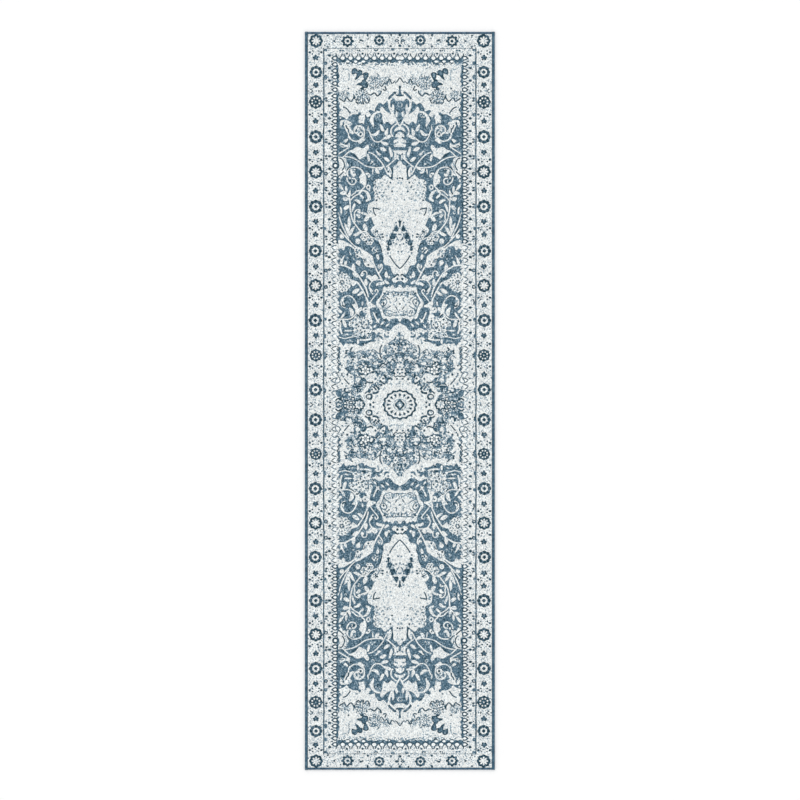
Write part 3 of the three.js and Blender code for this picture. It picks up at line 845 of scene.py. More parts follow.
stem(IVORY, 0.45, (15.8, 54.3), (15.2, 55), (14.4, 55.2), (13.7, 54.6), (13.6, 53.4), (13.8, 52.4))
blob(IVORY, (16.3, 53.8), (15.5, 54.5), (14.8, 53.9), (15, 53.2), (15.9, 53))
blob(IVORY, (13.4, 53.3), (12.4, 53.5), (11.4, 53), (10.4, 53.7), (9.5, 53.2), (9, 52.4), (9.5, 51.5),
     (10.8, 51.1), (11.8, 50.9), (12.6, 51.7), (13.2, 52.2))
stem(IVORY, 0.45, (9.4, 51.4), (8.4, 51.7), (7.4, 51.2))
stem(IVORY, 0.45, (11.4, 51), (12.2, 50), (12.6, 48.8), (12.3, 47.4))
blob(IVORY, (14, 52), (13.4, 51), (13.3, 49.8), (13.9, 49.1), (14.7, 50), (14.7, 51.1))
blob(IVORY, (9.9, 49.7), (9, 50.4), (7.8, 50.6), (6.6, 50.7), (6.2, 50), (7.4, 49.4), (8.6, 49.4),
     (9.5, 48.9))
blob(IVORY, (20, 51.3), (18.6, 51), (17.7, 50.3), (18.4, 49.6), (19.4, 48.9), (20, 49.7))
disc(STONE, 8.4, 57.1, 0.8, tall=1.2)
stem(IVORY, 0.55, (7.8, 58.2), (7.2, 57.2), (7.5, 56), (8.3, 54.9), (8.8, 54.1))
blob(IVORY, (5.6, 55.1), (5.1, 54.2), (4.8, 53.1), (5.4, 52.4), (6.2, 52.8), (6.3, 54))
blob(IVORY, (5.1, 52.4), (4.4, 53.2), (3.9, 52.7), (4.4, 52.1))
blob(IVORY, (6.5, 51.4), (5.5, 51.2), (4.5, 50.4), (4.8, 49.7), (5.8, 50.1))
blob(IVORY, (25, 60.9), (24.2, 60.2), (23.2, 61.4), (22.6, 61.6), (23.3, 60.2), (23.6, 58.6), (24.1, 57.9),
     (24.9, 58.4), (24.5, 59.6))
blob(IVORY, (23.1, 58.2), (22.6, 59.2), (21.9, 59.3), (21.9, 58.2), (22.5, 57.4))
stem(MIST, 0.5, (20.4, 64.3), (20.6, 63), (20.3, 61.9))
dots(MIST, 0.42, (21.6, 60.6), (19.2, 60.3))
blob(IVORY, (19.7, 46.4), (18.8, 47.5), (17.6, 48), (16.7, 47.8), (17.1, 46.8), (18, 46), (19.1, 45.8))
blob(IVORY, (17.7, 45.2), (16.6, 46.3), (15.7, 47), (15.2, 46.2), (16, 45.4), (16.9, 45))
blob(IVORY, (12.7, 48.6), (11.9, 48), (11, 46.7), (11.1, 45.4), (11.9, 46.2), (12.6, 47.4))
stem(IVORY, 0.45, (10.2, 46.6), (10.1, 47.4), (9.4, 47.5), (9, 46.8), (9.6, 45.7), (10.4, 44.8), (11.2, 43.8),
     (11.9, 42.8), (12.3, 41.8))
dots(SLATE, 0.37, (11.2, 46.4))
laid("stems and leaves")

# %% Open flower
x, y, size = 23.9, 50.5, 3.8
disc(STONE, x, y, size, tall=1.05, lobes=12, depth=0.06, sides=36)
for ring, count, start in ((0.95, 14, 0), (0.62, 11, 0.25)):
    for k in range(count):
        a = tau * (k + start) / count
        inner, outer = size * (ring - 0.36), size * ring
        leaf(IVORY, x + inner * cos(a), y + inner * sin(a), x + outer * cos(a), y + outer * sin(a), 0.95)
        b = a + pi / count
        dots((SLATE, BLUE)[k % 2], 0.3, (x + 0.86 * outer * cos(b), y + 0.86 * outer * sin(b)))
for k in range(6):
    a = tau * k / 6
    dots(SLATE, 0.35, (x + 0.75 * cos(a), y + 0.75 * sin(a)))
laid("open flower")

# %% Closed coil
stem(IVORY, 0.5, (17.4, 39.9), (17.8, 41.4), (18.6, 43), (19.6, 44.3), (20.9, 45), (22.2, 44.9), (23.4, 44.2),
     (24.2, 43), (24.2, 41.6), (23.6, 40.6), (22.5, 40))
stem(STONE, 0.7, (23.2, 44), (23.7, 42.8), (23.3, 41.6), (22.7, 41.2))
stem(SLATE, 0.57, (23.8, 41.2), (23.2, 40.6), (22.4, 40.9), (22.2, 41.6))
patch(IVORY, (19.8, 41.4), (19.1, 40.2), (18.5, 39.6), (18.4, 38.2), (17.9, 37.4), (17.2, 37.3), (16.5, 36.6),
      (16.9, 37.8), (16.4, 38.5), (15.7, 39), (15.6, 40.2), (16.3, 40.3), (17, 39.6), (17.4, 40), (17.6, 41),
      (18.2, 42.2), (18.8, 41.5))
blob(IVORY, (21, 40), (20, 39.8), (19.1, 38.8), (19, 37.6), (19.8, 36.5), (20.4, 36.8), (20.6, 38.2))
blob(IVORY, (25.6, 39.6), (24.6, 39.2), (23.8, 38.4), (24.4, 37.8), (25.2, 38.3))
blob(IVORY, (22.6, 38), (22.9, 36.8), (23.6, 36), (24.6, 35.6), (24, 36.8), (23.3, 37.7))
dots(SLATE, 0.37, (19.7, 40.6), (25.7, 36.3))
disc(IVORY, 14.2, 39.1, 1.25, lobes=6, depth=0.08)
disc(STONE, 14.1, 39.1, 0.6)
dots(SLATE, 0.32, (14.3, 39.3), (13.1, 37.6))
blob(IVORY, (15.7, 42.3), (15.1, 42.5), (15.1, 41.4), (15.7, 40.9))
patch(IVORY, (13.6, 43), (12.4, 42.4), (10.6, 41.2), (9.9, 40.9), (10, 40.3), (11.4, 40.1), (12.5, 39.6),
      (12.3, 38.4), (12.2, 37.2), (11.7, 36), (11.6, 34.8), (14, 34.6), (14.4, 36.4), (13.4, 38), (13.1, 40),
      (13.8, 41.6))
blob(BLUE, (12, 39.3), (11.2, 40), (10.5, 39.3), (11.3, 38.8), (10.9, 37.4), (10.7, 36.4), (11.5, 37),
     (12, 38.2))
stem(IVORY, 0.6, (10.9, 38.2), (10.2, 36.4), (9.4, 34.9), (8.6, 33.9))
laid("closed coil")

# %% Shield
patch(IVORY, (0, 49.5), (0.5, 49.4), (0.9, 48.5), (1.6, 48.1), (2.3, 48.4), (2.7, 49.3), (3.4, 49.3),
      (3.9, 48.5), (4.6, 48.9), (5.2, 48.4), (5.8, 48.4), (6.2, 48.9), (6.9, 48.3), (7.1, 47.3), (7.3, 46.2),
      (7.9, 45), (8.4, 44.1), (9.2, 43.4), (9.8, 42.4), (9.7, 41.2), (9.3, 40.3), (8.5, 39.6), (8.1, 38.6),
      (7.7, 37.2), (7.2, 35.9), (6.5, 35.3), (5.6, 35.8), (5, 35), (4.3, 34.4), (3.6, 35.3), (2.7, 35.5),
      (1.8, 35.8), (0.8, 35.5), (0.3, 34.4), (0, 34.2))
patch(BLUE, (0, 46.6), (2.6, 46.9), (4.2, 46.6), (5.6, 47.2), (6.2, 45.9), (7.4, 44.6), (8.6, 42.1),
      (7.6, 40.6), (7.2, 39.4), (6.9, 37.9), (6.1, 36.9), (4, 36.2), (2.8, 36.9), (1.4, 36.6), (0, 36.7))
patch(STONE, (0, 46.2), (2.6, 46.5), (4.2, 46.2), (5.4, 46.8), (5.9, 45.5), (7, 44.3), (8.1, 42.1),
      (7.2, 40.7), (6.8, 39.5), (6.4, 38), (5.8, 37.2), (4, 36.6), (2.8, 37.3), (1.4, 37), (0, 37.1))
patch(IVORY, (0, 44.6), (1.6, 45), (3, 44.2), (4.8, 44.9), (5.8, 43.6), (7.2, 42.1), (5.9, 40.4), (5, 39),
      (3.2, 39.2), (1.4, 38.4), (0, 39.4))
patch(IVORY, (0, 53.9), (1, 53.6), (1.8, 52.8), (2.8, 52.3), (3.4, 51.6), (2.7, 50.6), (1.8, 50.3),
      (1.1, 50.8), (0.5, 51.2), (0, 50.9))
stem(SLATE, 0.57, (2.5, 52.5), (1.7, 53.2), (1, 53.8), (0.3, 53.3))
blob(SLATE, (1.5, 52.2), (0.9, 52.5), (0.5, 52), (0.8, 51.4), (1.4, 51.6))
stem(BLUE, 0.44, (7.8, 41.2), (8, 42.3), (7.3, 43.2), (6.3, 43.6), (5.5, 43.1), (5.4, 42.2), (6.2, 41),
     (7, 40.5))
disc(SLATE, 6.7, 41.9, 0.42, tall=1.3, sides=8)
stem(SLATE, 0.42, (5.3, 44.3), (4.7, 43.9), (4.2, 43.4))
stem(BLUE, 0.44, (3.8, 40.9), (4.9, 40), (6, 39.5), (6.5, 38.2))
stem(BLUE, 0.47, (6.3, 46.2), (6, 45.3), (5.2, 45.6), (4.9, 46.4))
stem(BLUE, 0.47, (3.6, 46.5), (2.9, 46), (2.7, 45), (1.9, 45.2))
stem(SLATE, 0.42, (1.9, 40.6), (1.4, 39.9), (1, 39.2))
stem(BLUE, 0.44, (2, 42.6), (1.3, 43.2), (1.5, 44.2))
dots(MIST, 0.45, (0.6, 45.9), (4.6, 37.6), (3, 37.3), (1.5, 38.1), (0, 37), (3.9, 42.2), (5.8, 36.9),
     (2.4, 41.2))
dots(SLATE, 0.42, (0, 41.6), (6.5, 46), (0.7, 45.5))
laid("shield")

# %% Dark leaves below the shield
disc(BLUE, 1.6, 34.3, 1.15, lobes=5, depth=0.08)
blob(BLUE, (4.2, 34), (3.4, 34.2), (2.6, 33.5), (3.2, 32.7), (3.9, 33))
laid("dark leaves below the shield")

# %% [markdown]
# ### Medallion
# The middle of the real rug is an ivory star filled with a fine mixture of yarns, with petals and
# dark notches over it and a scalloped roundel at its heart. The mixture is one patch of the
# mottled yarn, whose finish picks a colour for each knot. Petals and notches have nothing in
# common but their kind, so each kind is a short table with one loop. The roundel is a stack of
# lobed discs, and a loop turns its notches round the middle.

# %% Speckled rose
blob(STONE, (17.8, 37.4), (16.6, 36.4), (15.4, 36.4), (14.2, 36.2), (12.8, 35.6), (11.5, 35), (11.3, 33.9),
     (11.8, 32.8), (11.2, 31.2), (11.9, 29.8), (11.6, 28.3), (12.6, 27.4), (14.2, 28.4), (15.8, 27.9),
     (17.2, 27.6), (18.6, 27.9), (20, 27.8), (19.4, 29.2), (18.9, 30.6), (19.1, 31.9), (20.6, 32.2),
     (21.2, 33.2), (20.7, 34.4), (19.5, 35.2), (18.7, 36.4))
for y, count, inner, outer, width, bend in [(32, 11, (2, 1.9), (4.3, 4.2), 1, 0.4),
                                            (31.9, 6, (0.4, 0.4), (1.9, 1.9), 0.8, 0.3)]:
    for k in range(count):
        a = tau * k / count
        leaf(IVORY, 15.9 + inner[0] * cos(a), y + inner[1] * sin(a),
             15.9 + outer[0] * cos(a), y + outer[1] * sin(a), width, bend=bend)
for ring, count in ((0.3, 4), (0.55, 9), (0.95, 13)):
    for k in range(count):
        a = tau * k / count + ring
        dots((SLATE, BLUE, BLUE)[k % 3], 0.38, (15.9 + 4.1 * ring * cos(a), 32 + 4.2 * ring * sin(a)))
stem(BLUE, 0.47, (13.4, 34.8), (12.9, 33.6), (13.2, 32.4), (12.8, 31.2))
stem(SLATE, 0.47, (16, 32.5), (15.3, 32), (14.9, 31.2))
stem(MIST, 0.52, (18.4, 29.6), (17.4, 30), (16.4, 29.2), (15.6, 28.8))
stem(SLATE, 0.52, (17.9, 37.3), (17.1, 36.8), (16.6, 36.1))
stem(IVORY, 0.5, (25.6, 35.4), (23.6, 35.3), (21.6, 35.2), (20.2, 35.6), (19, 36.6), (18.2, 37.7))
stem(SLATE, 0.47, (21.2, 34.9), (20, 35.1), (19, 35.9))
stem(IVORY, 0.7, (24.8, 35.6), (24.5, 33.6), (24.6, 31.8), (24.3, 30.4), (23.9, 29.2))
dots(SLATE, 0.43, (24.2, 34.4))
blob(IVORY, (23.7, 35.2), (23, 35.2), (22.4, 34.2), (22, 33), (22, 32), (22.7, 32), (23.4, 32.9),
     (23.7, 34.2))
leaf(IVORY, 23.1, 30.5, 19.4, 30.6, 0.75)
leaf(STONE, 23.5, 28.8, 20.1, 29.1, 0.75)
stem(IVORY, 0.4, (26, 28.1), (24.4, 27.7), (22.6, 27.3), (21.2, 27.7), (20, 27.9))
stem(SLATE, 0.47, (26, 31.8), (25.2, 32.6), (24.8, 33.4))
stem(IVORY, 0.4, (26.2, 29.2), (25.4, 30.4), (24.8, 31.2))
stem(MIST, 0.52, (21.6, 26.2), (20.4, 26.4), (19.2, 26.1))
blob(IVORY, (17.4, 27.3), (16.8, 26.4), (16.9, 25.5), (17.5, 25), (17.7, 26.2))
stem(IVORY, 0.7, (16.6, 26.8), (14.8, 26.7), (13, 26.9), (11.6, 27.4))
blob(SLATE, (16, 27.5), (14.9, 28.2), (13.8, 28), (13.3, 27.6), (14.6, 27.1))
dots(STONE, 0.35, (13.8, 27.5))
laid("speckled rose")

# %% Medallion ground
patch(IVORY, (0, 33.9), (0.6, 33.3), (1.6, 32.9), (2.6, 32.3), (3.3, 31.3), (4.1, 30.6), (4.9, 30.2),
      (5.7, 30.9), (6.8, 30.9), (7.8, 31.6), (9, 31.5), (10.2, 30.8), (11.1, 30.8), (11.4, 30.2), (11, 29.9),
      (10.3, 30), (9.7, 29.2), (10.6, 28.2), (10.8, 27.2), (9.6, 26.4), (10.6, 25.9), (11.6, 26),
      (12.6, 25.7), (13.4, 25.2), (13.9, 24.8), (14.6, 25.3), (14.8, 24.4), (15.6, 24), (16.5, 24.3),
      (17.5, 24.8), (18.4, 25.3), (19.4, 24.9), (20.2, 25.3), (20.9, 24.9), (21.8, 25.3), (22.4, 25.5),
      (22.8, 24.7), (23.3, 24.2), (23.8, 24.8), (24.3, 25.6), (25.2, 25.9), (26.6, 25.8), (26.6, 24.9),
      (25.4, 25.2), (25, 24.6), (25.7, 24.2), (24.6, 23.8), (24.4, 22.9), (24.8, 22.1), (24.4, 21.2),
      (24.9, 20.5), (24.6, 19.4), (25.1, 18.6), (24.8, 17.8), (24.3, 17.4), (24, 16.6), (24.9, 16.1),
      (25.1, 15.3), (24.2, 14.6), (24.6, 13.9), (25.9, 13.3), (26.6, 12.4), (26.6, 0), (0, 0))
patch(MOTTLE, (0, 29.9), (0.8, 29.8), (1.6, 28.5), (2.4, 27.2), (3.5, 26.4), (4.6, 25.6), (5.6, 24.9),
      (6.7, 24.2), (7.2, 22.8), (7, 20.4), (8.4, 19), (9.4, 20.6), (9.9, 21.8), (11.4, 22.4), (12.9, 22.9),
      (14.4, 22.1), (16.6, 22.5), (18, 21.8), (19.6, 22.4), (20.2, 23.4), (21, 22.6), (22.3, 22.6),
      (22.4, 21.2), (21.5, 20.6), (21, 19), (21.9, 17.8), (22.4, 16.4), (21.9, 15.6), (22.9, 15.1),
      (21.6, 13.9), (22, 12.4), (20.8, 11.4), (19.3, 11), (18.9, 8.8), (20, 7.4), (22.2, 6.8), (24.4, 6.6),
      (26.6, 6.3), (26.6, 0), (15.4, 0), (15, 2), (16.4, 4.2), (15.2, 6), (13.9, 7.6), (13.6, 9.4),
      (14.4, 11.2), (12.4, 12.8), (10.4, 13), (9.2, 11), (9.6, 9.4), (11.6, 8.6), (12.9, 6.4), (11, 5),
      (9, 5.2), (8.4, 7.6), (7.4, 8.4), (5.8, 8.6), (4.8, 10.2), (3.6, 10.6), (2.2, 12.8), (2, 15.4),
      (0.9, 16.9), (0, 17))
stem(IVORY, 0.9, (7.9, 25.2), (7.6, 23), (8.1, 20.8), (7.4, 18.8), (6.4, 17.6))
stem(SLATE, 0.57, (7.4, 24.6), (8.1, 23.2), (8.2, 21.8), (8.1, 20.4), (7.5, 19))
stem(BLUE, 0.42, (10.7, 22.7), (9.8, 22), (8.4, 20.9))
laid("medallion ground")

# %% Broken leaves
blob(BLUE, (11.2, 27.6), (10.7, 28.6), (9.6, 29), (8.9, 29.9), (7.7, 29.5), (7.8, 28.6), (7.2, 27.9),
     (6.8, 26.8), (7.6, 27.1), (8.6, 27.8), (9.8, 27.7), (10.5, 27.1))
blob(BLUE, (6.5, 29.5), (5.9, 28.9), (5.4, 28.4), (4.5, 28.5), (4.5, 27.8), (5.6, 27.6), (6.4, 28))
dots(IVORY, 0.45, (8, 28.9), (9.9, 29.8))
dots(BLUE, 0.42, (11, 29.7), (5.9, 30.5), (4.8, 29.6), (9.1, 25.6))
for x, y, tip_x, tip_y in [
    (9.9, 33.8, 8, 35.8), (8, 32.9, 6.2, 34.6), (5.9, 32.2, 4.3, 33.6), (10.9, 31.7, 9.6, 33.2),
]:
    leaf(IVORY, x, y, tip_x, tip_y, 0.8)
stem(MIST, 0.52, (8.7, 27.4), (8.9, 26.2), (9.3, 25))
laid("broken leaves")

# %% Petals
for x, y, wide, tall in [
    (1.9, 23.2, 0.8, 1.2), (4.6, 22.6, 0.7, 0.6), (6.3, 21.2, 0.8, 0.8), (4.2, 18.8, 1.2, 0.7),
    (0.6, 18.6, 1, 0.8), (9.9, 17, 1.1, 0.6), (6.5, 16.2, 0.8, 0.6), (6.8, 14.4, 1.6, 0.8),
    (13.9, 15.7, 0.6, 0.8), (15.7, 15.7, 0.7, 0.55), (16.1, 13.6, 0.7, 0.5), (15, 11.7, 1.1, 0.45),
    (11.9, 14.4, 0.75, 1.1), (18.4, 18.4, 1.2, 1), (20, 17.2, 0.7, 0.9), (18.2, 15.4, 0.8, 0.7),
    (20.6, 12.2, 1.2, 0.8), (17.8, 12.4, 0.8, 0.9), (11.2, 21.2, 0.6, 0.5), (14.2, 19, 0.9, 0.8),
    (16.9, 21, 0.7, 0.5), (12, 19.6, 0.8, 0.6), (17.4, 10.2, 0.9, 1), (19.9, 9.6, 1, 0.9),
    (16.2, 4.6, 1.2, 0.5), (21.7, 6, 0.55, 0.55), (20.6, 6.5, 0.7, 0.6), (20.7, 4.2, 0.6, 0.5),
    (24, 4.9, 0.8, 0.5), (19.2, 1.4, 1, 0.6), (21.6, 0.9, 1.1, 0.5), (25.9, 3.4, 0.6, 0.6),
    (25.8, 0.3, 0.5, 0.7), (17.9, 3.2, 0.6, 0.5), (24.3, 1.9, 0.7, 0.5), (1, 27.8, 0.5, 0.5),
    (3.2, 24.3, 0.6, 0.4),
]:
    disc(IVORY, x, y, wide, tall=tall / wide, lobes=3, depth=0.08, turn=x, sides=12)
for x, y, wide, tall in [
    (20.2, 20.9, 1.1, 0.7), (17.2, 20.5, 0.9, 0.6), (14.6, 20.9, 0.9, 0.6), (13.3, 21.7, 0.9, 0.6),
    (20.7, 14.5, 1.2, 0.8), (16.7, 12.7, 0.7, 0.7), (14.5, 10.1, 0.8, 0.7), (18.6, 11.2, 0.4, 1.5),
    (17.6, 5.7, 0.9, 0.7), (25.2, 5, 1.2, 0.8), (22.6, 3.2, 1.4, 0.6), (4.7, 20.2, 1.3, 0.55),
    (3.2, 22.2, 0.8, 0.6), (5.2, 23.9, 0.9, 0.6), (9.5, 14.2, 1, 0.6), (19.4, 15.5, 0.6, 0.6),
    (20.2, 17.1, 0.6, 0.5), (16, 8.9, 0.5, 1), (16.9, 3.5, 1.2, 0.4), (24, 3.5, 0.8, 0.5),
    (11, 18.4, 0.9, 0.5), (2.3, 16.6, 0.4, 0.9), (19.8, 12.9, 0.9, 0.5), (18, 7.2, 1.2, 0.4),
    (16.4, 17.3, 0.9, 0.4),
]:
    disc((BLUE, MIST)[int(x) % 2], x, y, wide, tall=tall / wide, lobes=3, depth=0.12, turn=y, sides=12)
laid("petals")

# %% Notches
for points in [
    [(8.9, 15.5), (8, 16), (7.5, 16.8), (6.5, 17), (5.7, 16.4), (5, 17.4), (4.1, 17.1)],
    [(3.5, 18.7), (2.6, 18.5), (2.1, 17.8), (1.5, 17.3)],
    [(2.2, 25.6), (2.6, 24.9), (1.9, 24.4)],
    [(1.8, 21.9), (1.4, 21.2), (0.6, 21.4), (0, 21.2)],
    [(2, 21), (1.4, 20), (1.2, 19)],
    [(12.8, 14.5), (12.8, 15.2), (11.9, 15.7), (11, 15.4), (10.9, 14.4)],
    [(11.9, 13.3), (11, 13.6), (10.4, 13.4)],
    [(16.8, 16.5), (15.8, 16.5), (15.1, 16.1)],
    [(17.4, 13.9), (16.8, 13.1), (15.9, 12.6), (15.4, 12.2)],
    [(16.7, 15.3), (16, 14.6), (15.7, 14.2)],
    [(14.4, 16.9), (13.6, 16.7), (13.1, 16)],
    [(13.9, 9.5), (12.8, 9.2), (11.8, 9), (11, 9.5)],
    [(19.6, 16), (19.7, 15.2), (20.1, 14.3)],
    [(22.8, 15), (22, 14.9), (21.3, 14.2)],
    [(19.2, 7.5), (18, 7.4), (17, 7.6), (16.2, 7.2)],
    [(9.9, 13.9), (9.4, 13.2), (9, 12.6)],
    [(24.6, 6.4), (23.9, 6.3)],
    [(17.9, 4.5), (17.8, 4.4)],
    [(20.2, 20), (19.8, 19.5), (19.2, 19.8), (18.3, 19.6)],
    [(15.6, 19.8), (14.8, 19.6), (14, 19.4)],
    [(19.5, 7.6), (18.2, 7.3), (17.4, 6.2), (17.6, 5.2)],
    [(17, 8.6), (16, 8.2), (15.8, 7.2)],
    [(20.2, 2.6), (19, 1.9), (18.2, 1)],
    [(24, -0.2), (23, 0.2), (22.9, 1.2), (22.2, 1.8), (21.2, 1.7)],
    [(26.4, 2.4), (25.4, 2.6), (24.6, 2.2)],
    [(22.4, 6.9), (22.9, 6.1), (22.4, 5.2), (21.4, 5), (20.6, 5.3)],
]:
    stem(SLATE, 0.62, *points, steps=2)
stem(SLATE, 0.5, (23, 10.8), (21.9, 9.5), (20.9, 8.4), (19.9, 7.9))
stem(SLATE, 0.5, (16.4, 2.7), (15.5, 1.5), (14.4, 0.2))
stem(SLATE, 0.5, (25.9, 12.1), (25, 11), (24.4, 9.8))
stem(SLATE, 0.55, (19.4, 23.6), (20.1, 23.2), (20.4, 22.4))
stem(BLUE, 0.47, (23.2, 19.2), (22.4, 19.9), (21.6, 20.4))
stem(IVORY, 0.45, (14.7, 5.2), (12.9, 4.7), (11.5, 4.1), (10.9, 3.2))
blob(BLUE, (22.8, 15), (21.6, 14.8), (20.6, 15.6), (19.8, 14.6), (20.2, 13.6), (21.4, 13.8))
laid("notches")

# %% Small flower and flecks
disc(SLATE, 14.2, 14.1, 1.9, lobes=6, depth=0.1)
for k in range(6):
    a = tau * (k + 0.5) / 6
    disc(CREAM, 14.2 + 1.15 * cos(a), 14.1 + 1.15 * sin(a), 0.52, sides=8)
dots(IVORY, 0.5, (14.2, 14.1))
dots(SLATE, 0.3, (14.2, 14.1))
for k in range(90):
    x, y = 12.5 + 11.5 * sin(12.9 * k), 14.5 + 8.6 * sin(7.3 * k + 1)
    if y > 7 and y + 0.2 * x < 25 and (x > 9 or y > 18):
        disc((IVORY, SLATE, BLUE, BLUE)[k % 4], x, y, 0.4, sides=6)
dots(SLATE, 0.5, (0, 27), (0.6, 24.9), (14.6, 17.4), (15, 10.8), (10.1, 10.7), (22.1, 22.2), (22.2, 21.3),
     (21.7, 12.4), (19.4, 18.6), (24.4, 2.9), (5.8, 21.6), (7.2, 18))
blob(IVORY, (13.7, 10.4), (12.9, 11.3), (12, 12.3), (10.9, 12.7), (10.2, 11.8), (10.6, 10.6), (11.5, 9.8),
     (12.8, 9.8))
laid("small flower and flecks")

# %% Flowers on the cross axis
disc(SLATE, 16.8, 0, 2.3, lobes=8, depth=0.12)
disc(IVORY, 16.8, 0, 1.6, lobes=8, depth=0.2)
disc(STONE, 16.8, 0, 0.9)
for x, y in [(20.2, 0.9), (22.6, 0.6), (24.6, 1.3), (19.4, 2.4)]:
    disc(SLATE, x, y, 1, tall=0.8, lobes=3, depth=0.1)
    disc(IVORY, x, y, 0.55, tall=0.65)
dots(MIST, 0.47, (16.8, 0))
disc(SLATE, 12.6, 3.3, 1.5, tall=0.9, lobes=3, depth=0.06, sides=14)
disc(IVORY, 12.8, 3.3, 0.9, tall=0.8, sides=10)
disc(MIST, 12.9, 3.1, 0.42)
stem(SLATE, 0.6, (14.4, 4.6), (13.4, 5.4), (12.4, 5))
dots(SLATE, 0.47, (12.2, 0.2), (10.9, 0.9))
laid("flowers on the cross axis")

# %% Crescents
disc(IVORY, 6.9, 10.2, 1.35, tall=1.2)
stem(BLUE, 1.25, (6.1, 11.3), (5.5, 10.7), (5.4, 9.7), (5.7, 8.8), steps=2)
stem(SLATE, 0.7, (8.2, 10.1), (7.6, 9.4), (6.8, 8.9), (6, 8.5))
stem(SLATE, 0.95, (6.6, 12.4), (6.1, 11.8), (5.8, 11.1), steps=2)
dots(SLATE, 0.45, (7.6, 8.1), (6.9, 10.8))
disc(IVORY, 10.6, 6, 1.5)
stem(SLATE, 0.85, (11.3, 4.8), (10.2, 4.8), (9.3, 5.1), (8.8, 5.7))
disc(SLATE, 12.6, 5.8, 0.65, tall=1.4)
stem(SLATE, 0.65, (11, 7.4), (10.2, 6.7), (9.8, 6))
stem(SLATE, 0.8, (9.3, 7.2), (8.7, 6.7), (8.4, 6.2))
dots(BLUE, 0.45, (11.5, 6.3))
blob(BLUE, (4.3, 13.9), (4.9, 13.2), (4.7, 12.3), (4.1, 12.6))
dots(SLATE, 0.52, (2.3, 12.9), (3.4, 10.5), (3.5, 13.3))
dots(SLATE, 0.45, (1.2, 10.7), (0.9, 14.5))
stem(SLATE, 0.5, (0, 11.6), (0.9, 11.9), (1.8, 11.4), (2.5, 12.1), (2.2, 13), (2.9, 13.7), (2.2, 14.6),
     steps=1)
dots(BLUE, 0.42, (0, 12.9), (0.9, 13.3), (0, 15.6), (1.6, 15.4), (3.9, 15.2), (5.4, 14.4))
disc(MIST, 3.5, 11.7, 0.6)
dots(IVORY, 0.3, (3.5, 11.7))
dots(MIST, 0.42, (3.4, 8.5), (0.4, 8.8), (4, 8.8), (6.7, 6.4), (1.2, 8.4), (9.3, 3.6))
laid("crescents")

# %% Roundel
across, along = 6.95, 6.1
disc(SLATE, 0, 0, across, tall=along / across, lobes=16, depth=0.055, sides=64)
disc(IVORY, 0, 0, across - 0.85, tall=along / across, lobes=16, depth=0.03, sides=64)
for k in range(16):
    a = tau * k / 16
    x, y = 4.6 * cos(a), 3.9 * sin(a)
    out_x, out_y, side_x, side_y = 0.9 * cos(a), 0.85 * sin(a), 0.56 * sin(a), -0.56 * cos(a)
    patch(SLATE, (x - out_x, y - out_y), (x + 0.5 * out_x + side_x, y + 0.5 * out_y + side_y),
          (x + out_x, y + out_y), (x + 0.5 * out_x - side_x, y + 0.5 * out_y - side_y))
disc(MIST, 0, 0, 2.8, tall=0.9, sides=20)
disc(IVORY, 0, 0, 2.4, tall=0.9, sides=20)
disc(SLATE, 0, 0, 1.85, tall=1.1, lobes=4, depth=0.14, sides=24)
disc(MIST, 0, 0, 1, tall=1.15, lobes=4, depth=0.12, sides=24)
disc(CREAM, 0, 0, 0.5, sides=8)
laid("roundel")

# %% [markdown]
# ### Borders
# The real border is a broad band with rosettes and small clover heads by turns. Inside it run a
# guard line, a column of dots and, along the field, a narrow band of drops. The borders are laid
# last, because they cover the ragged edge of the field. They could be one short stretch, repeated
# all the way round. On the rug the rosettes differ in kind, size and spacing, so a table says
# where each one goes and three helpers draw them.

# %% Rosettes, clover heads and specks
STAR, EYED, WREATH = "star", "eyed", "wreath"


def rosette(kind, x, y, size=2.7):
    disc(SLATE, x, y, size, lobes=8, depth=0.07)
    if kind == STAR:
        disc(IVORY, x, y, 1.62, lobes=8, depth=0.2, sides=40)
        for k in range(8):
            a = tau * (k + 0.5) / 8
            stem(SLATE, 0.32, (x + 1.05 * cos(a), y + 1.05 * sin(a)), (x + 1.6 * cos(a), y + 1.6 * sin(a)),
                 steps=1)
    if kind == EYED:
        for k in range(8):
            a = tau * (k + 0.5) / 8
            disc(BLUE, x + size * 0.77 * cos(a), y + size * 0.77 * sin(a), 0.3, sides=7)
        disc(IVORY, x, y, size * 0.55, lobes=8, depth=0.07, turn=pi / 8)
        disc(SLATE, x, y, 0.72, lobes=4, depth=0.12, sides=12)
    if kind == WREATH:
        for k in range(8):
            a = tau * (k + 0.5) / 8
            disc(IVORY, x + size * 0.58 * cos(a), y + size * 0.58 * sin(a), size * 0.14, sides=8)
        disc(MIST, x, y, 0.35, sides=7)


def tulip(x, y, way=1):
    """A clover of small lobes on two feet; way -1 stands it on its head."""
    disc(BLUE, x, y, 0.85, sides=9)
    for across, up, size in [
        (0, 0.8, 0.5), (0.8, 0, 0.48), (-0.8, 0.1, 0.48), (0.5, -0.7, 0.42), (-0.6, -0.75, 0.42),
    ]:
        disc(SLATE, x + across, y + up * way, size, sides=8)


def specks(yarn, *places):
    """Small dots: across, along, how wide and how tall."""
    for x, y, wide, tall in places:
        disc(yarn, x, y, wide, tall=tall / wide, sides=8)


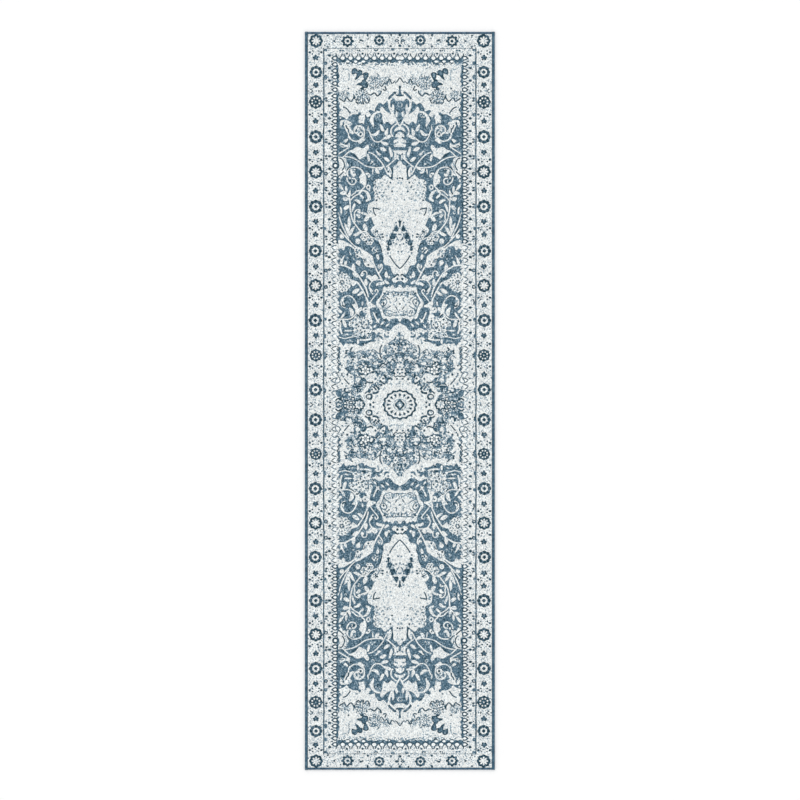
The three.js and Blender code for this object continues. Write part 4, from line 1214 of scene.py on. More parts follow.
# %% Outer border
for kind, x, y, size in [
    (STAR, 34.6, 150.2, 2.75), (EYED, 34.6, 137.3, 2.55), (WREATH, 34.7, 125, 2.75),
    (EYED, 34.7, 110.6, 2.75), (STAR, 34.7, 96.2, 2.8), (EYED, 34.7, 81.8, 2.75), (EYED, 34.9, 63.5, 2.65),
    (STAR, 34.8, 49.2, 2.7), (EYED, 34.9, 34.8, 2.7), (WREATH, 34.7, 20.4, 2.5), (EYED, 34.8, 6.2, 2.65),
    (EYED, 8.5, 150.4, 2.15),
]:
    rosette(kind, x, y, size)
disc(SLATE, 21.6, 150.1, 2.1)
for k in range(8):
    disc(SLATE, 21.6 + 2.1 * cos(tau * k / 8), 150.1 + 2.0 * sin(tau * k / 8), 0.6, sides=8)
disc(IVORY, 21.6, 150.1, 1.25, lobes=8, depth=0.12)
specks(SLATE, (21.5, 150.1, 0.68, 0.62))
for y in [143.3, 117.1, 88.4, 70.3, 41.2, 12.5]:
    tulip(34.8, y)
for y in [132, 104.2, 75.6, 57, 28.5]:
    tulip(34.7, y, way=-1)
for y in [145.5, 119.8, 91.3, 72.9, 44.2, 25.1, 15.8]:
    specks(SLATE, (37.2, y, 0.6, 0.48), (32.4, y, 0.58, 0.48))
    specks(SLATE, (36, y + 0.6, 0.36, 0.32), (36.1, y - 0.7, 0.36, 0.38), (33.7, y + 0.5, 0.38, 0.26),
           (33.4, y - 0.7, 0.36, 0.36))
for y in [101.1, 54.1]:
    specks(SLATE, (37.2, y, 0.65, 0.48), (32.5, y, 0.55, 0.5))
    specks(SLATE, (36.1, y - 0.7, 0.38, 0.36), (33.6, y + 0.5, 0.3, 0.3), (33.9, y - 0.7, 0.4, 0.36),
           (36.9, y - 1.6, 0.27, 0.25), (32.9, y - 1.6, 0.27, 0.25))
for y in [129.5, 0]:
    stem(SLATE, 0.5, (37, y + 0.9), (35.9, y), (37, y - 0.9), steps=1)
    specks(SLATE, (37.7, y, 0.34, 0.22), (33.4, y, 0.28, 0.6), (32.5, y, 0.32, 0.32))
specks(SLATE, (29.8, 152.4, 0.5, 0.36), (29.7, 147.7, 0.42, 0.4), (31, 148.3, 0.3, 0.3),
       (29, 148.7, 0.26, 0.26), (24.5, 151.7, 0.3, 0.3), (13.3, 152.5, 0.48, 0.55), (13.2, 147.9, 0.52, 0.52),
       (12.9, 151.2, 0.22, 0.3), (3.6, 152.6, 0.36, 0.4), (3.7, 148, 0.42, 0.45), (0, 152.6, 0.62, 0.55),
       (0, 148.2, 0.7, 0.6), (0.7, 151.6, 0.3, 0.3), (0.6, 149.3, 0.3, 0.35), (16.2, 150.5, 0.6, 0.45),
       (15.4, 150.2, 0.42, 0.36), (16.7, 149.7, 0.36, 0.3))
blob(SLATE, (2.2, 150.3), (1.2, 151), (0.3, 150.3), (1.2, 149.8))
specks(MIST, (1.2, 150.4, 0.4, 0.25))
patch(SLATE, (28, 150.1), (26.2, 151), (26.8, 150.2), (26.2, 149.3))
laid("outer border")

# %% Guard lines
GUARD_X = 31.4
GUARD_PITCH = 4.14
points = [(GUARD_X + (0.1, -0.07, 0.02)[k % 3], GUARD_PITCH * k) for k in range(36)]
stem(BLUE, 0.6, *points, steps=1)
for x, y in points:
    patch(SLATE, (x + 0.28, y), (x + 0.22, y + 2.3), (x - 0.24, y + 2.6), (x - 0.24, y))
x = 30.2
for k in range(22):
    long = (1.6, 0.6, 1.1, 2, 0.5)[k % 5]
    patch((SLATE, BLUE)[k % 2], (x, 146.95), (x, 147.25), (x - long, 147.25), (x - long, 146.95))
    x -= long + (0.3, 0.25, 0.4)[k % 3]
specks(BLUE, (30.6, 146.4, 0.75, 0.6), (30.6, 141, 0.7, 0.85), (30.6, 135.2, 0.75, 1.1),
       (30.6, 119.7, 0.75, 0.85), (31, 72.7, 0.75, 0.75), (30.9, 28.3, 0.5, 1), (30.9, 20.3, 0.6, 1.7),
       (30.7, 12.5, 0.5, 1.1), (30.8, 35.3, 0.7, 0.7), (31, 6, 0.6, 0.9))
for y in [126, 109, 102.1, 89, 82.2, 68.9, 62]:
    specks(MIST, (30.7, y, 0.6, 0.7))
    specks(SLATE, (30.4, y + 0.6, 0.62, 0.36), (30.3, y - 0.6, 0.6, 0.36))
for y in [115.9, 95.4, 55.4, 48.6]:
    specks(SLATE, (30.5, y, 0.85, 0.85))
    specks(MIST, (30.55, y, 0.4, 0.4))
stem(SLATE, 0.4, (30.1, 43.5), (30.7, 42.5), (30.5, 41.3), tip=0.7)
specks(SLATE, (30.4, 133.2, 0.3, 0.3), (29.9, 26.1, 0.25, 0.42), (30.2, 20.8, 0.42, 0.36),
       (30.4, 19.8, 0.42, 0.36), (29.9, 14.7, 0.25, 0.42), (30.8, 12, 0.4, 0.42), (30.2, 9.2, 0.32, 0.36),
       (30.4, 8.4, 0.26, 0.26), (30.8, 5.2, 0.42, 0.36), (30.8, 0, 0.3, 0.3), (29.9, 3.2, 0.22, 0.5))
laid("guard lines")

# %% [markdown]
# #### Inner border
# A row of dark drops, each with a white heart, points outwards along the field. Further down the
# drops wear away into short strokes, so the lower rows are drawn by a loop of their own.

# %% Drop
def drop_eye(x, y, size):
    """A dark drop with its point outwards and a small white heart."""
    patch(SLATE, (x + 1.75, y), (x + 0.7, y + 1.02 * size), (x - 0.2, y + 1.22 * size),
          (x - 1, y + 0.8 * size), (x - 1.1, y - 0.8 * size), (x - 0.2, y - 1.22 * size),
          (x + 0.7, y - 1.02 * size))
    patch(CREAM, (x + 0.9, y), (x + 0.35, y + 0.44), (x - 0.3, y + 0.5), (x - 0.6, y), (x - 0.3, y - 0.5),
          (x + 0.35, y - 0.44))


# %% Inner border
DROP_PITCH = 2.61
for high, low in [(142.2, 131.2), (128.8, 101.3), (94.4, 66.2)]:
    edge = []
    count = int((high - low) / 1.05)
    for k in range(count + 1):
        edge.append((26.2 + (0.3, -0.25, 0.1)[k % 3], high + (low - high) * k / count))
    inside = [(x - (0.6, 1.5, 0.8, 1.25, 0.45, 1.1, 1.7)[k % 7], y) for k, (x, y) in enumerate(edge)]
    patch(BLUE, *edge, *inside[::-1])
for k in range(-11, 19):
    y = 96.1 + DROP_PITCH * k
    if k == 1:  # a round eye takes the place of one drop
        continue
    drop_eye(26.7, y, size=0.87)
    stem((MIST, SLATE)[k % 2], 0.42, (28.6, y + 1.3), (27.6, y + 1.3), steps=1, tip=0.6)
disc(SLATE, 26.6, 98.7, 1.4)
disc(CREAM, 26.6, 98.7, 0.62)
for k in range(25):
    y = 64.8 - DROP_PITCH * k
    patch(IVORY, (26.9, y + 1.9), (25.6, y + 1.7), (24.9, y + 0.7), (25.5, y + 0.2),
          (24.7 + 0.3 * (k % 3), y - 0.6), (26.9, y - 0.8))
    specks(CREAM, (26.9, y, 0.8, 0.55))
    yarn = (BLUE, SLATE, SLATE, BLUE, MIST)[k % 5]
    stem(yarn, 0.42, (28.3, y + 0.1), (27.3, y + 0.8), (26.2, y + 1.1), steps=1)
    stem(yarn, 0.42, (28, y - 0.1), (27.2, y - 0.75), (26.3, y - 1.05), steps=1)
    if k % 3:
        stem(BLUE, 0.4, (26.1, y + 0.3), (25.4, y - 0.4), (25.8, y - 1), steps=1)
stem(SLATE, 0.55, (25.8, 24), (25, 23.4), (25.7, 22.6), (24.8, 22), (25.6, 21), (25, 20), (25.9, 19.2),
     (25.2, 18.1), (25.8, 17.5), (24.8, 16.7), (25.6, 15.8), (25, 14.9), (25.8, 14.2), (25.2, 13.3),
     (26.6, 13), steps=1)
specks(CREAM, (25.9, 14.1, 0.6, 0.4), (26.9, 12.2, 0.6, 0.5), (25.5, 9.9, 0.5, 0.5), (26.9, 7.2, 0.6, 0.45))
stem(BLUE, 0.4, (25.6, 11.2), (26.6, 10.1), (26.5, 8.9), (25.1, 9.2), (24.5, 10.3), steps=2)
blob(BLUE, (26.6, 5.6), (25.4, 6.2), (24.2, 5.2), (23.6, 3.4), (24.8, 3), (26, 3.6))
stem(SLATE, 0.62, (26.6, 1.7), (25.4, 2.6), (24.4, 2.2), (23.6, 1.4), steps=2)
stem(BLUE, 0.6, (26.2, 0), (25.6, 1.1), (24.6, 0.9), (23.8, 0), steps=2)
laid("inner border")

# %% Dot column
specks(SLATE, (28.8, 0.9, 0.52, 0.45), (28.9, 5.9, 0.55, 0.34), (28.8, 10.9, 0.5, 0.32),
       (28.9, 16.3, 0.5, 0.32))
DOT_PITCH = 5.205
for k in range(24):
    specks(SLATE, (29.05 + (0, 0.08, -0.06)[k % 3], 24.5 + DOT_PITCH * k, 0.72, 0.55))
laid("dot column")

# %% End border
TOOTH = 3.25  # from one tooth of the end border to the next
specks(BLUE, (24.6, 146.2, 0.55, 0.42), (23.5, 146.2, 0.5, 0.42), (2.9, 146.6, 0.8, 0.5),
       (9.9, 146.2, 0.7, 0.36), (16.9, 141.9, 0.95, 0.8), (12.6, 143, 0.55, 0.5), (10.2, 142, 0.85, 0.6),
       (7.4, 142.2, 0.8, 0.45), (21.6, 142.7, 0.8, 0.5), (5.8, 142.1, 0.6, 0.5), (2.6, 142, 0.6, 0.55),
       (1.1, 142.2, 0.5, 0.4), (19.7, 142.3, 0.7, 0.7))
specks(SLATE, (17.5, 146.3, 0.36, 0.32), (16.7, 146.2, 0.36, 0.42), (10.4, 146.4, 0.34, 0.36),
       (9.3, 146.4, 0.34, 0.34))
patch(STONE, (26, 141.4), (0, 141.4), (0, 140.2), (3.1, 139.8), (6, 140.4), (9.4, 139.6), (13, 140.3),
      (16.4, 139.5), (19, 140.3), (22.8, 139.9), (26, 140.4))
top = []
for k in range(8):
    top += [(25.1 - TOOTH * k, 142.7), (23.5 - TOOTH * k, 144.1)]
low = [(26.1 - 1.09 * k, 141.3 + (0.3, -0.35, 0.1, -0.2, 0.35)[k % 5]) for k in range(24)]
patch(BLUE, (26.3, 143.6), *top, (0, 143.2), *low[::-1])
for k in range(8):
    x = 23.6 - TOOTH * k
    specks(CREAM, (x, 143.1, 0.85, 0.72))
    if k < 3:
        specks(CREAM, (x - 2.1, 141.7, 0.75, 0.45))
        stem(SLATE, 0.45, (x + 0.4, 141.4), (x - 0.6, 142.3), (x - 1.5, 142.6), steps=2)
        stem(SLATE, 0.4, (x - 1.4, 141.2), (x - 2.1, 140.9), (x - 2.9, 141.2), steps=2)
    stem(SLATE, 0.45, (x + 1.2, 142.7), (x + 0.4, 142.2), (x - 0.6, 142.2), (x - 1.2, 142.8), steps=2)
for k in range(8):
    x = 25.1 - TOOTH * k
    stem(SLATE, 0.48, (x + 1.25, 145), (x + 1.15, 144.2), (x, 142.8), (x - 1.15, 144.2), (x - 1.25, 145),
         steps=1)
for k in range(4):
    specks(SLATE, (21.9 - 6.5 * k, 144.95, 0.52, 0.46))
stem(SLATE, 0.36, (15.3, 140.7), (14.5, 140.5), (13.7, 141.4))
stem(SLATE, 0.36, (6.9, 142.2), (6.7, 141.4), (6.1, 141.2))
stem(SLATE, 0.36, (5.2, 142.3), (4.9, 141.1), (5.6, 140.5))
stem(SLATE, 0.36, (4, 142.2), (3.8, 140.9), steps=1)
stem(SLATE, 0.4, (0, 144), (0.8, 144.6), (1.3, 145))
laid("end border")

# %% [markdown]
# ## The face pile
# The card's overlapping outlines become one flat mesh by constrained triangulation: every outline
# edge is kept, and each small triangle knows which outlines cover it, so the last of them names
# its yarn. A Boolean for each shape would give the same edges, but over 1600 of them would
# take minutes. The quarter is mirrored twice. On the real rug the near half is a little shorter than
# the far one, so it is squeezed, and the more so towards its end.

# %% One quarter of the pattern as a mesh
PILE_LOW, PILE_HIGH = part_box("face_pile")
MEDALLION_Y = -16 * MM  # the middle of the pattern
PILE_ROUND = 1.2 * MM
QUARTER_WIDTH = (PILE_HIGH.x - PILE_ROUND) / CM
QUARTER_LENGTH = (PILE_HIGH.y - PILE_ROUND - MEDALLION_Y) / CM
NEAR_LENGTH = (MEDALLION_Y - PILE_LOW.y - PILE_ROUND) / CM
YARN_ORDER = list(PILE_YARNS)


def anticlockwise(outline):
    area = sum(a[0] * b[1] - b[0] * a[1] for a, b in zip(outline[-1:] + outline[:-1], outline))
    return outline if area > 0 else outline[::-1]


def cut_card():
    """The triangles of the quarter, each with its yarn."""
    frame_outline = [(0, 0), (QUARTER_WIDTH, 0), (QUARTER_WIDTH, QUARTER_LENGTH), (0, QUARTER_LENGTH)]
    shapes = [(IVORY, frame_outline)] + CARD
    points = []
    faces = []
    for _, outline in shapes:
        faces.append(list(range(len(points), len(points) + len(outline))))
        points.extend(Vector(point) for point in anticlockwise(outline))
    cut = delaunay_2d_cdt(points, [], faces, 1, 1e-4, True)
    corners, triangles, covers = cut[0], cut[2], cut[5]
    kept = []
    for triangle, cover in zip(triangles, covers):
        if 0 in cover:
            kept.append((triangle, shapes[max(cover)][0]))
    return corners, kept


def weave_quarter(bm):
    corners, triangles = cut_card()
    made = {}
    for triangle, yarn in triangles:
        for index in triangle:
            if index not in made:
                x, y = corners[index]
                made[index] = bm.verts.new((x * CM, y * CM, PILE_HIGH.z))
        face = bm.faces.new([made[index] for index in triangle])
        face.material_index = YARN_ORDER.index(yarn)
    bm.normal_update()


pile_bm = bmesh.new()
weave_quarter(pile_bm)
print("one quarter:", len(pile_bm.verts), "points,", len(pile_bm.faces), "triangles")

# %% Merge and mirror
def merge_same_yarn(bm):
    """Drops the edges that outlines left inside one colour."""
    bmesh.ops.dissolve_limit(
        bm, angle_limit=radians(0.5), verts=bm.verts[:], edges=bm.edges[:], delimit={"MATERIAL"}
    )
    bmesh.ops.triangulate(bm, faces=bm.faces[:])


def mirror_pattern(bm):
    for axis in ("X", "Y"):
        bmesh.ops.mirror(bm, geom=bm.verts[:] + bm.edges[:] + bm.faces[:], axis=axis, merge_dist=1e-6)
    bmesh.ops.recalc_face_normals(bm, faces=bm.faces[:])
    squeeze = 1 - NEAR_LENGTH / QUARTER_LENGTH
    for vert in bm.verts:
        if vert.co.y < 0:
            vert.co.y *= 1 + squeeze * vert.co.y / (QUARTER_LENGTH * CM)
        vert.co.y += MEDALLION_Y


merge_same_yarn(pile_bm)
mirror_pattern(pile_bm)
print("whole face:", len(pile_bm.faces), "triangles")

# %% Rounded edge
EDGE_STEPS = 3


def round_pile_edge(bm):
    """Draws the edge of the face outwards and down to the cloth."""
    half = (PILE_HIGH.x - PILE_ROUND, PILE_HIGH.y - PILE_ROUND)
    turns = [pi / 2 * k / EDGE_STEPS for k in range(1, EDGE_STEPS + 1)]
    rings = [(PILE_ROUND * sin(a), PILE_HIGH.z - PILE_ROUND * (1 - cos(a))) for a in turns]
    for out, level in rings + [(PILE_ROUND, PILE_LOW.z)]:
        yarns = {edge: edge.link_faces[0].material_index for edge in open_edges(bm)}
        drawn = bmesh.ops.extrude_edge_only(bm, edges=list(yarns))["geom"]
        for face in (g for g in drawn if isinstance(g, bmesh.types.BMFace)):
            face.material_index = next((yarns[edge] for edge in face.edges if edge in yarns), 0)
        for vert in (g for g in drawn if isinstance(g, bmesh.types.BMVert)):
            for axis in (0, 1):
                if abs(vert.co[axis]) > half[axis] - MM * 0.05:
                    vert.co[axis] = (half[axis] + out) * (1 if vert.co[axis] > 0 else -1)
            vert.co.z = level


round_pile_edge(pile_bm)
close_holes(pile_bm)
print("with its edge and back:", len(pile_bm.faces), "faces")

# %% [markdown]
# ### Map of the face
# When the finish is baked to a picture, each face needs its own place on a map. Unwrapping over a
# hundred thousand small triangles one by one would leave gaps between all of them. The rug is flat, so
# its own x and y serve: the two halves lie side by side, and the back is a narrow strip.

# %% Map of the face
MAP_SPARE = 0.05  # room for the gaps and the back
MAP_GAP = 0.01
MAP_MARGIN = 0.004
BACK_STRIP = 0.02
BACK_SHRINK = 2.1


def strip_uv(bm):
    """A map that lays the far and near halves side by side, with the rounded edge unrolled."""
    layer = bm.loops.layers.uv.new("OFBake")
    width = PILE_HIGH.x - PILE_LOW.x + 2 * (PILE_HIGH.z - PILE_LOW.z)
    scale = 1 / (2 * width + MAP_SPARE)
    for face in bm.faces:
        far = face.calc_center_median().y > MEDALLION_Y
        under = face.normal.z < -0.5
        for loop in face.loops:
            x, y, z = loop.vert.co
            drop = PILE_HIGH.z - z
            if abs(x) > PILE_HIGH.x - PILE_ROUND * 1.01:
                x += drop * (1 if x > 0 else -1)
            if abs(y) > PILE_HIGH.y - PILE_ROUND * 1.01:
                y += drop * (1 if y > 0 else -1)
            along = abs(y - MEDALLION_Y) + MAP_MARGIN
            across = x + width / 2 + (0 if far else width + MAP_GAP)
            if under:
                across = 2 * width + 2 * MAP_GAP + BACK_STRIP * (x / width + 0.5)
                along = (y - PILE_LOW.y) / BACK_SHRINK
            loop[layer].uv = (across * scale, along * scale)


strip_uv(pile_bm)

# %% Face pile
yarns = [pile_materials[name] for name in YARN_ORDER]
face_pile = finish_piece("face_pile_woven", pile_bm, yarns, ["face_pile"])

# %% [markdown]
# ## Bound edges
# Each long side is whipped: a thick yarn wraps over and over round a filler cord and the edge of
# the cloth. It could be a bump on a plain bar, but the ribs show in the outline of the rug, so
# each turn of yarn is modelled. One turn is drawn as a short open tube, and an Array modifier
# repeats it down the side, joining each turn to the next. The section is open inwards, where the
# cloth goes in, and has a bore for the cord.

# %% Edge yarn finish
EDGE_DYE = srgb(62, 98, 120)
EDGE_DARK = srgb(30, 60, 78)
EDGE_LIGHT = srgb(104, 132, 146)
END_DYE = srgb(66, 98, 122)


def edge_finish(name, dye, along, patch_scale):
    """Thick wrapped yarn: fine strands along each turn, and turns that took the dye unevenly."""
    finish = Finish(name, roughness=0.78, sheen=0.25)
    patches = finish.noise(1.0, detail=3, place=finish.stretched(patch_scale))
    light = finish.steps(patches, (0.0, (0, 0, 0, 1)), (0.56, (1, 1, 1, 1)))
    dark = finish.steps(patches, (0.0, (1, 1, 1, 1)), (0.42, (0, 0, 0, 1)))
    color = finish.mix(light, dye, EDGE_LIGHT)
    color = finish.mix(dark, color, EDGE_DARK)
    color = finish.shade(finish.mix(0.55, color, dye), finish.noise(260), 0.88, 1.1)
    strands = finish.wave(along, 0.7 * MM, distortion=2.0)
    finish.relief(strands, distance=0.3 * MM, strength=0.6)
    return finish.paint(color)


side_yarn = edge_finish("Whipping yarn", EDGE_DYE, "X", (30, 90, 10))
end_yarn = edge_finish("Serging yarn", END_DYE, "Y", (90, 30, 10))
print("edge yarns:", side_yarn.name, "and", end_yarn.name)

# %% Sections of the bands
CLEARANCE = 0.3 * MM
FOOT_ROUND = 1.2 * MM
CLOTH_LOW, CLOTH_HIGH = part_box("ground_cloth")
MOUTH = (CLOTH_LOW.z - CLEARANCE, CLOTH_HIGH.z + CLEARANCE)


def corner(x, z, radius, first, last, steps):
    """Points round one rounded corner, between two angles in degrees."""
    turns = [radians(first + (last - first) * k / steps) for k in range(steps + 1)]
    return [(x + radius * cos(a), z + radius * sin(a)) for a in turns]


def band_outline(width, height, upper):
    """The outer points of a band, from its inner foot round to its inner shoulder."""
    foot = FOOT_ROUND
    return (
        corner(foot, foot, foot, 180, 270, 2)
        + corner(width - foot, foot, foot, 270, 360, 2)
        + corner(width - upper, height - upper, upper, 0, 90, 3)
        + corner(upper, height - upper, upper, 90, 180, 3)
    )


BORE_START = pi - 0.25  # the bore opens to the mouth a little above the cord's middle
BORE_TURN = BORE_START + radians(80)
BORE_STEPS = 6


def cord_bore(middle_x, middle_z, radius):
    """The inner points of a whipping: the mouth, and round the cord."""
    bore = [BORE_START - k * BORE_TURN / BORE_STEPS for k in range(BORE_STEPS + 1)]
    round_cord = [(middle_x + radius * cos(a), middle_z + radius * sin(a)) for a in bore]
    return [(0, MOUTH[1])] + round_cord + [(middle_x, MOUTH[0]), (0, MOUTH[0])]


print("mouth for the cloth:", round((MOUTH[1] - MOUTH[0]) / MM, 1), "mm")

# %% Wrapped yarn
TURN_PITCH = 4.0 * MM
GROOVE = 0.7 * MM
RING_STEPS = 4
LEAN = 5 * MM  # how far a turn slants from one edge of the band to the other
FADE_TURNS = 4  # the slant fades out over the last few turns


def one_turn(outer, inner, pitch):
    """A short straight tube with the band's section; its outer points are marked to swell."""
    bm = bmesh.new()
    swell = bm.verts.layers.float.new("swell")
    ring = [bm.verts.new((x, 0, z)) for x, z in outer + inner]
    for vert in ring[: len(outer)]:
        vert[swell] = 1.0
    edges = [bm.edges.new((ring[k - 1], ring[k])) for k in range(len(ring))]
    for _ in range(RING_STEPS):
        drawn = bmesh.ops.extrude_edge_only(bm, edges=edges)["geom"]
        fresh = {g for g in drawn if isinstance(g, bmesh.types.BMVert)}
        bmesh.ops.translate(bm, verts=list(fresh), vec=(0, pitch / RING_STEPS, 0))
        edges = [g for g in drawn if isinstance(g, bmesh.types.BMEdge) and fresh.issuperset(g.verts)]
    return bm


def repeated(bm, count, step):
    """The same piece count times over, joined end to end by an Array modifier."""
    mesh = bpy.data.meshes.new("unit")
    bm.to_mesh(mesh)
    bm.free()
    unit = bpy.data.objects.new("unit", mesh)
    bpy.context.scene.collection.objects.link(unit)
    array = unit.modifiers.new("turns", "ARRAY")
    array.count = count
    array.use_relative_offset = False
    array.use_constant_offset = True
    array.constant_offset_displace = step
    array.use_merge_vertices = True
    array.merge_threshold = 1e-5
    row = bmesh.new()
    row.from_object(unit, bpy.context.evaluated_depsgraph_get())
    bpy.data.objects.remove(unit)
    return row


def wrapped_band(outer, inner, length, pitch=TURN_PITCH, groove=GROOVE, lean=LEAN, seed=0):
    """A band of wrapped yarn from y = 0 to length, with a groove between its turns."""
    count = round(length / pitch)
    pitch = length / count
    bm = repeated(one_turn(outer, inner, pitch), count, (0, pitch, 0))
    swell = bm.verts.layers.float["swell"]
    width = max(x for x, _ in outer)
    middle = Vector((width / 2, 0, max(z for _, z in outer) / 2))
    for vert in bm.verts:
        y = vert.co.y
        inward = Vector((middle.x - vert.co.x, 0, middle.z - vert.co.z)).normalized()
        uneven = 0.5 + 0.5 * noise.noise(Vector((seed, y / pitch * 0.7, 0)))
        depth = groove * (1 - sin(pi * (y / pitch % 1))) + 0.3 * groove * uneven
        vert.co += inward * depth * vert[swell]
        fade = min(1, y / (FADE_TURNS * pitch), (length - y) / (FADE_TURNS * pitch))
        vert.co.y += lean * fade * (vert.co.x / width - 0.5)
    return bm


# %% Whipped sides
SIDE_LOW, SIDE_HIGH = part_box("side_whipping_right")
CORD_LOW, CORD_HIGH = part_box("selvedge_cord_right")
SIDE_ROUND = 3.4 * MM


def side_whipping(name, side):
    cord = (CORD_LOW + CORD_HIGH) / 2
    bore = (CORD_HIGH.x - CORD_LOW.x) / 2 + CLEARANCE
    width = SIDE_HIGH.x - SIDE_LOW.x
    outer = band_outline(width, SIDE_HIGH.z, SIDE_ROUND)
    inner = cord_bore(cord.x - SIDE_LOW.x, cord.z, bore)
    bm = wrapped_band(outer, inner, SIDE_HIGH.y - SIDE_LOW.y, seed=side)
    bmesh.ops.translate(bm, verts=bm.verts[:], vec=(SIDE_LOW.x, SIDE_LOW.y, 0))
    bmesh.ops.scale(bm, verts=bm.verts[:], vec=(side, 1, 1))
    close_holes(bm)
    return finish_piece(f"side_whipping_{name}_yarn", bm, [side_yarn], [f"side_whipping_{name}"])


side_whipping("left", -1)
side_whipping("right", 1)

# %% Serged ends
END_LOW, END_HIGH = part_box("end_serging_far")
END_ROUND = 2.8 * MM
END_PITCH = 3.6 * MM
END_LEAN = 3 * MM


def end_serging(name, end):
    """Made along Y, as the sides are, then turned to lie across the end."""
    width = END_HIGH.y - END_LOW.y
    length = END_HIGH.x - END_LOW.x
    depth = CLOTH_HIGH.y + CLEARANCE - END_LOW.y
    outer = band_outline(width, END_HIGH.z, END_ROUND)
    inner = [(0, MOUTH[1]), (depth, MOUTH[1]), (depth, MOUTH[0]), (0, MOUTH[0])]
    bm = wrapped_band(outer, inner, length, pitch=END_PITCH, lean=END_LEAN, seed=10 + end)
    bmesh.ops.rotate(bm, verts=bm.verts[:], matrix=Matrix.Rotation(pi / 2, 3, "Z"))
    bmesh.ops.scale(bm, verts=bm.verts[:], vec=(-1, 1, 1))
    bmesh.ops.translate(bm, verts=bm.verts[:], vec=(END_LOW.x, END_LOW.y, 0))
    bmesh.ops.scale(bm, verts=bm.verts[:], vec=(1, end, 1))
    close_holes(bm)
    return finish_piece(f"end_serging_{name}_yarn", bm, [end_yarn], [f"end_serging_{name}"])


end_serging("near", -1)
end_serging("far", 1)

# %% [markdown]
# ### Corner tacks
# Where a whipped side runs out, a few tight stitches close it at each corner. They are the same
# wrapped yarn, wound closer and without the mouth for the cloth.

# %% Corner tacks
TACK_LOW, TACK_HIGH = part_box("corner_tack_far_right")


def corner_tack(end_name, end, side_name, side):
    width = TACK_HIGH.x - TACK_LOW.x
    outer = band_outline(width, TACK_HIGH.z, SIDE_ROUND)
    length = TACK_HIGH.y - TACK_LOW.y
    bm = wrapped_band(outer, [], length, pitch=length / 2, groove=0.4 * MM, lean=0, seed=20 + side)
    bmesh.ops.translate(bm, verts=bm.verts[:], vec=(TACK_LOW.x, TACK_LOW.y, 0))
    bmesh.ops.scale(bm, verts=bm.verts[:], vec=(side, end, 1))
    close_holes(bm)
    node = f"corner_tack_{end_name}_{side_name}"
    return finish_piece(f"{node}_yarn", bm, [side_yarn], [node])


for end_name, end in (("near", -1), ("far", 1)):
    for side_name, side in (("left", -1), ("right", 1)):
        corner_tack(end_name, end, side_name, side)


# %% [markdown]
# ### Filler cords
# A three-ply cotton cord fills each whipped side. Its section has three lobes and turns as it
# runs, so a third of one lay is drawn and repeated: after a third of a turn the three lobes fall
# on each other again, and the repeats join.

# %% Filler cords
CORD_LAY = 21 * MM
CORD_POINTS = 12
PLIES = 3
LOBE_DEPTH = 0.12  # how deep the valleys between the plies are, for a radius of 1


def cotton_finish():
    finish = Finish("Cotton cord", roughness=0.9, sheen=0.2)
    color = finish.shade(srgb(214, 206, 186), finish.noise(140, detail=4), 0.86, 1.08)
    finish.relief(finish.wave("DIAGONAL", 0.8 * MM, distortion=3), distance=0.25 * MM, strength=0.5)
    return finish.paint(color)


cotton = cotton_finish()


def filler_cord(name, side):
    radius = (CORD_HIGH.x - CORD_LOW.x) / 2
    length = CORD_HIGH.y - CORD_LOW.y
    count = round(length / (CORD_LAY / PLIES))
    step = length / count / RING_STEPS
    bm = bmesh.new()
    turns = [tau * k / CORD_POINTS for k in range(CORD_POINTS)]
    reach = [radius * (1 - LOBE_DEPTH + LOBE_DEPTH * cos(PLIES * a)) for a in turns]
    ring = [bm.verts.new((r * cos(a), 0, r * sin(a))) for r, a in zip(reach, turns)]
    edges = [bm.edges.new((ring[k - 1], ring[k])) for k in range(CORD_POINTS)]
    twist = Matrix.Rotation(tau / PLIES / RING_STEPS, 3, "Y")
    for _ in range(RING_STEPS):
        drawn = bmesh.ops.extrude_edge_only(bm, edges=edges)["geom"]
        fresh = {g for g in drawn if isinstance(g, bmesh.types.BMVert)}
        bmesh.ops.translate(bm, verts=list(fresh), vec=(0, step, 0))
        bmesh.ops.rotate(bm, verts=list(fresh), matrix=twist)
        edges = [g for g in drawn if isinstance(g, bmesh.types.BMEdge) and fresh.issuperset(g.verts)]
    bm = repeated(bm, count, (0, length / count, 0))
    middle = (CORD_LOW + CORD_HIGH) / 2
    bmesh.ops.translate(bm, verts=bm.verts[:], vec=(side * middle.x, CORD_LOW.y, middle.z))
    close_holes(bm)
    return finish_piece(f"selvedge_cord_{name}_plied", bm, [cotton], [f"selvedge_cord_{name}"])


filler_cord("left", -1)
filler_cord("right", 1)

# %% [markdown]
# ## Cloth and backing
# Under the pile lies the ground cloth, a plain weave of thick warp and weft, and under that the
# latex coat that locks the knots and keeps the rug from slipping. Both are thin slabs. A grid
# with every other point raised, like a chessboard, gives the cloth its over-and-under and the
# latex its waffle; the finer threads are relief in the finish, with painted shade in their hollows.

# %% Cloth and latex finishes
def ground_finish():
    finish = Finish("Ground weave", roughness=0.9, sheen=0.15)
    warp = finish.wave("X", 2.4 * MM, distortion=0.6)
    weft = finish.wave("Y", 2.4 * MM, distortion=0.6)
    weave = finish.math("MULTIPLY", warp, weft)
    # The colour follows the relief: darker where the weave lies low, a painted shade in the hollows between
    # the threads.
    color = finish.mix(weave, srgb(186, 176, 152), srgb(219, 211, 190))
    color = finish.shade(color, finish.noise(60), 0.92, 1.06)
    finish.relief(weave, distance=0.4 * MM, strength=0.7)
    return finish.paint(color)


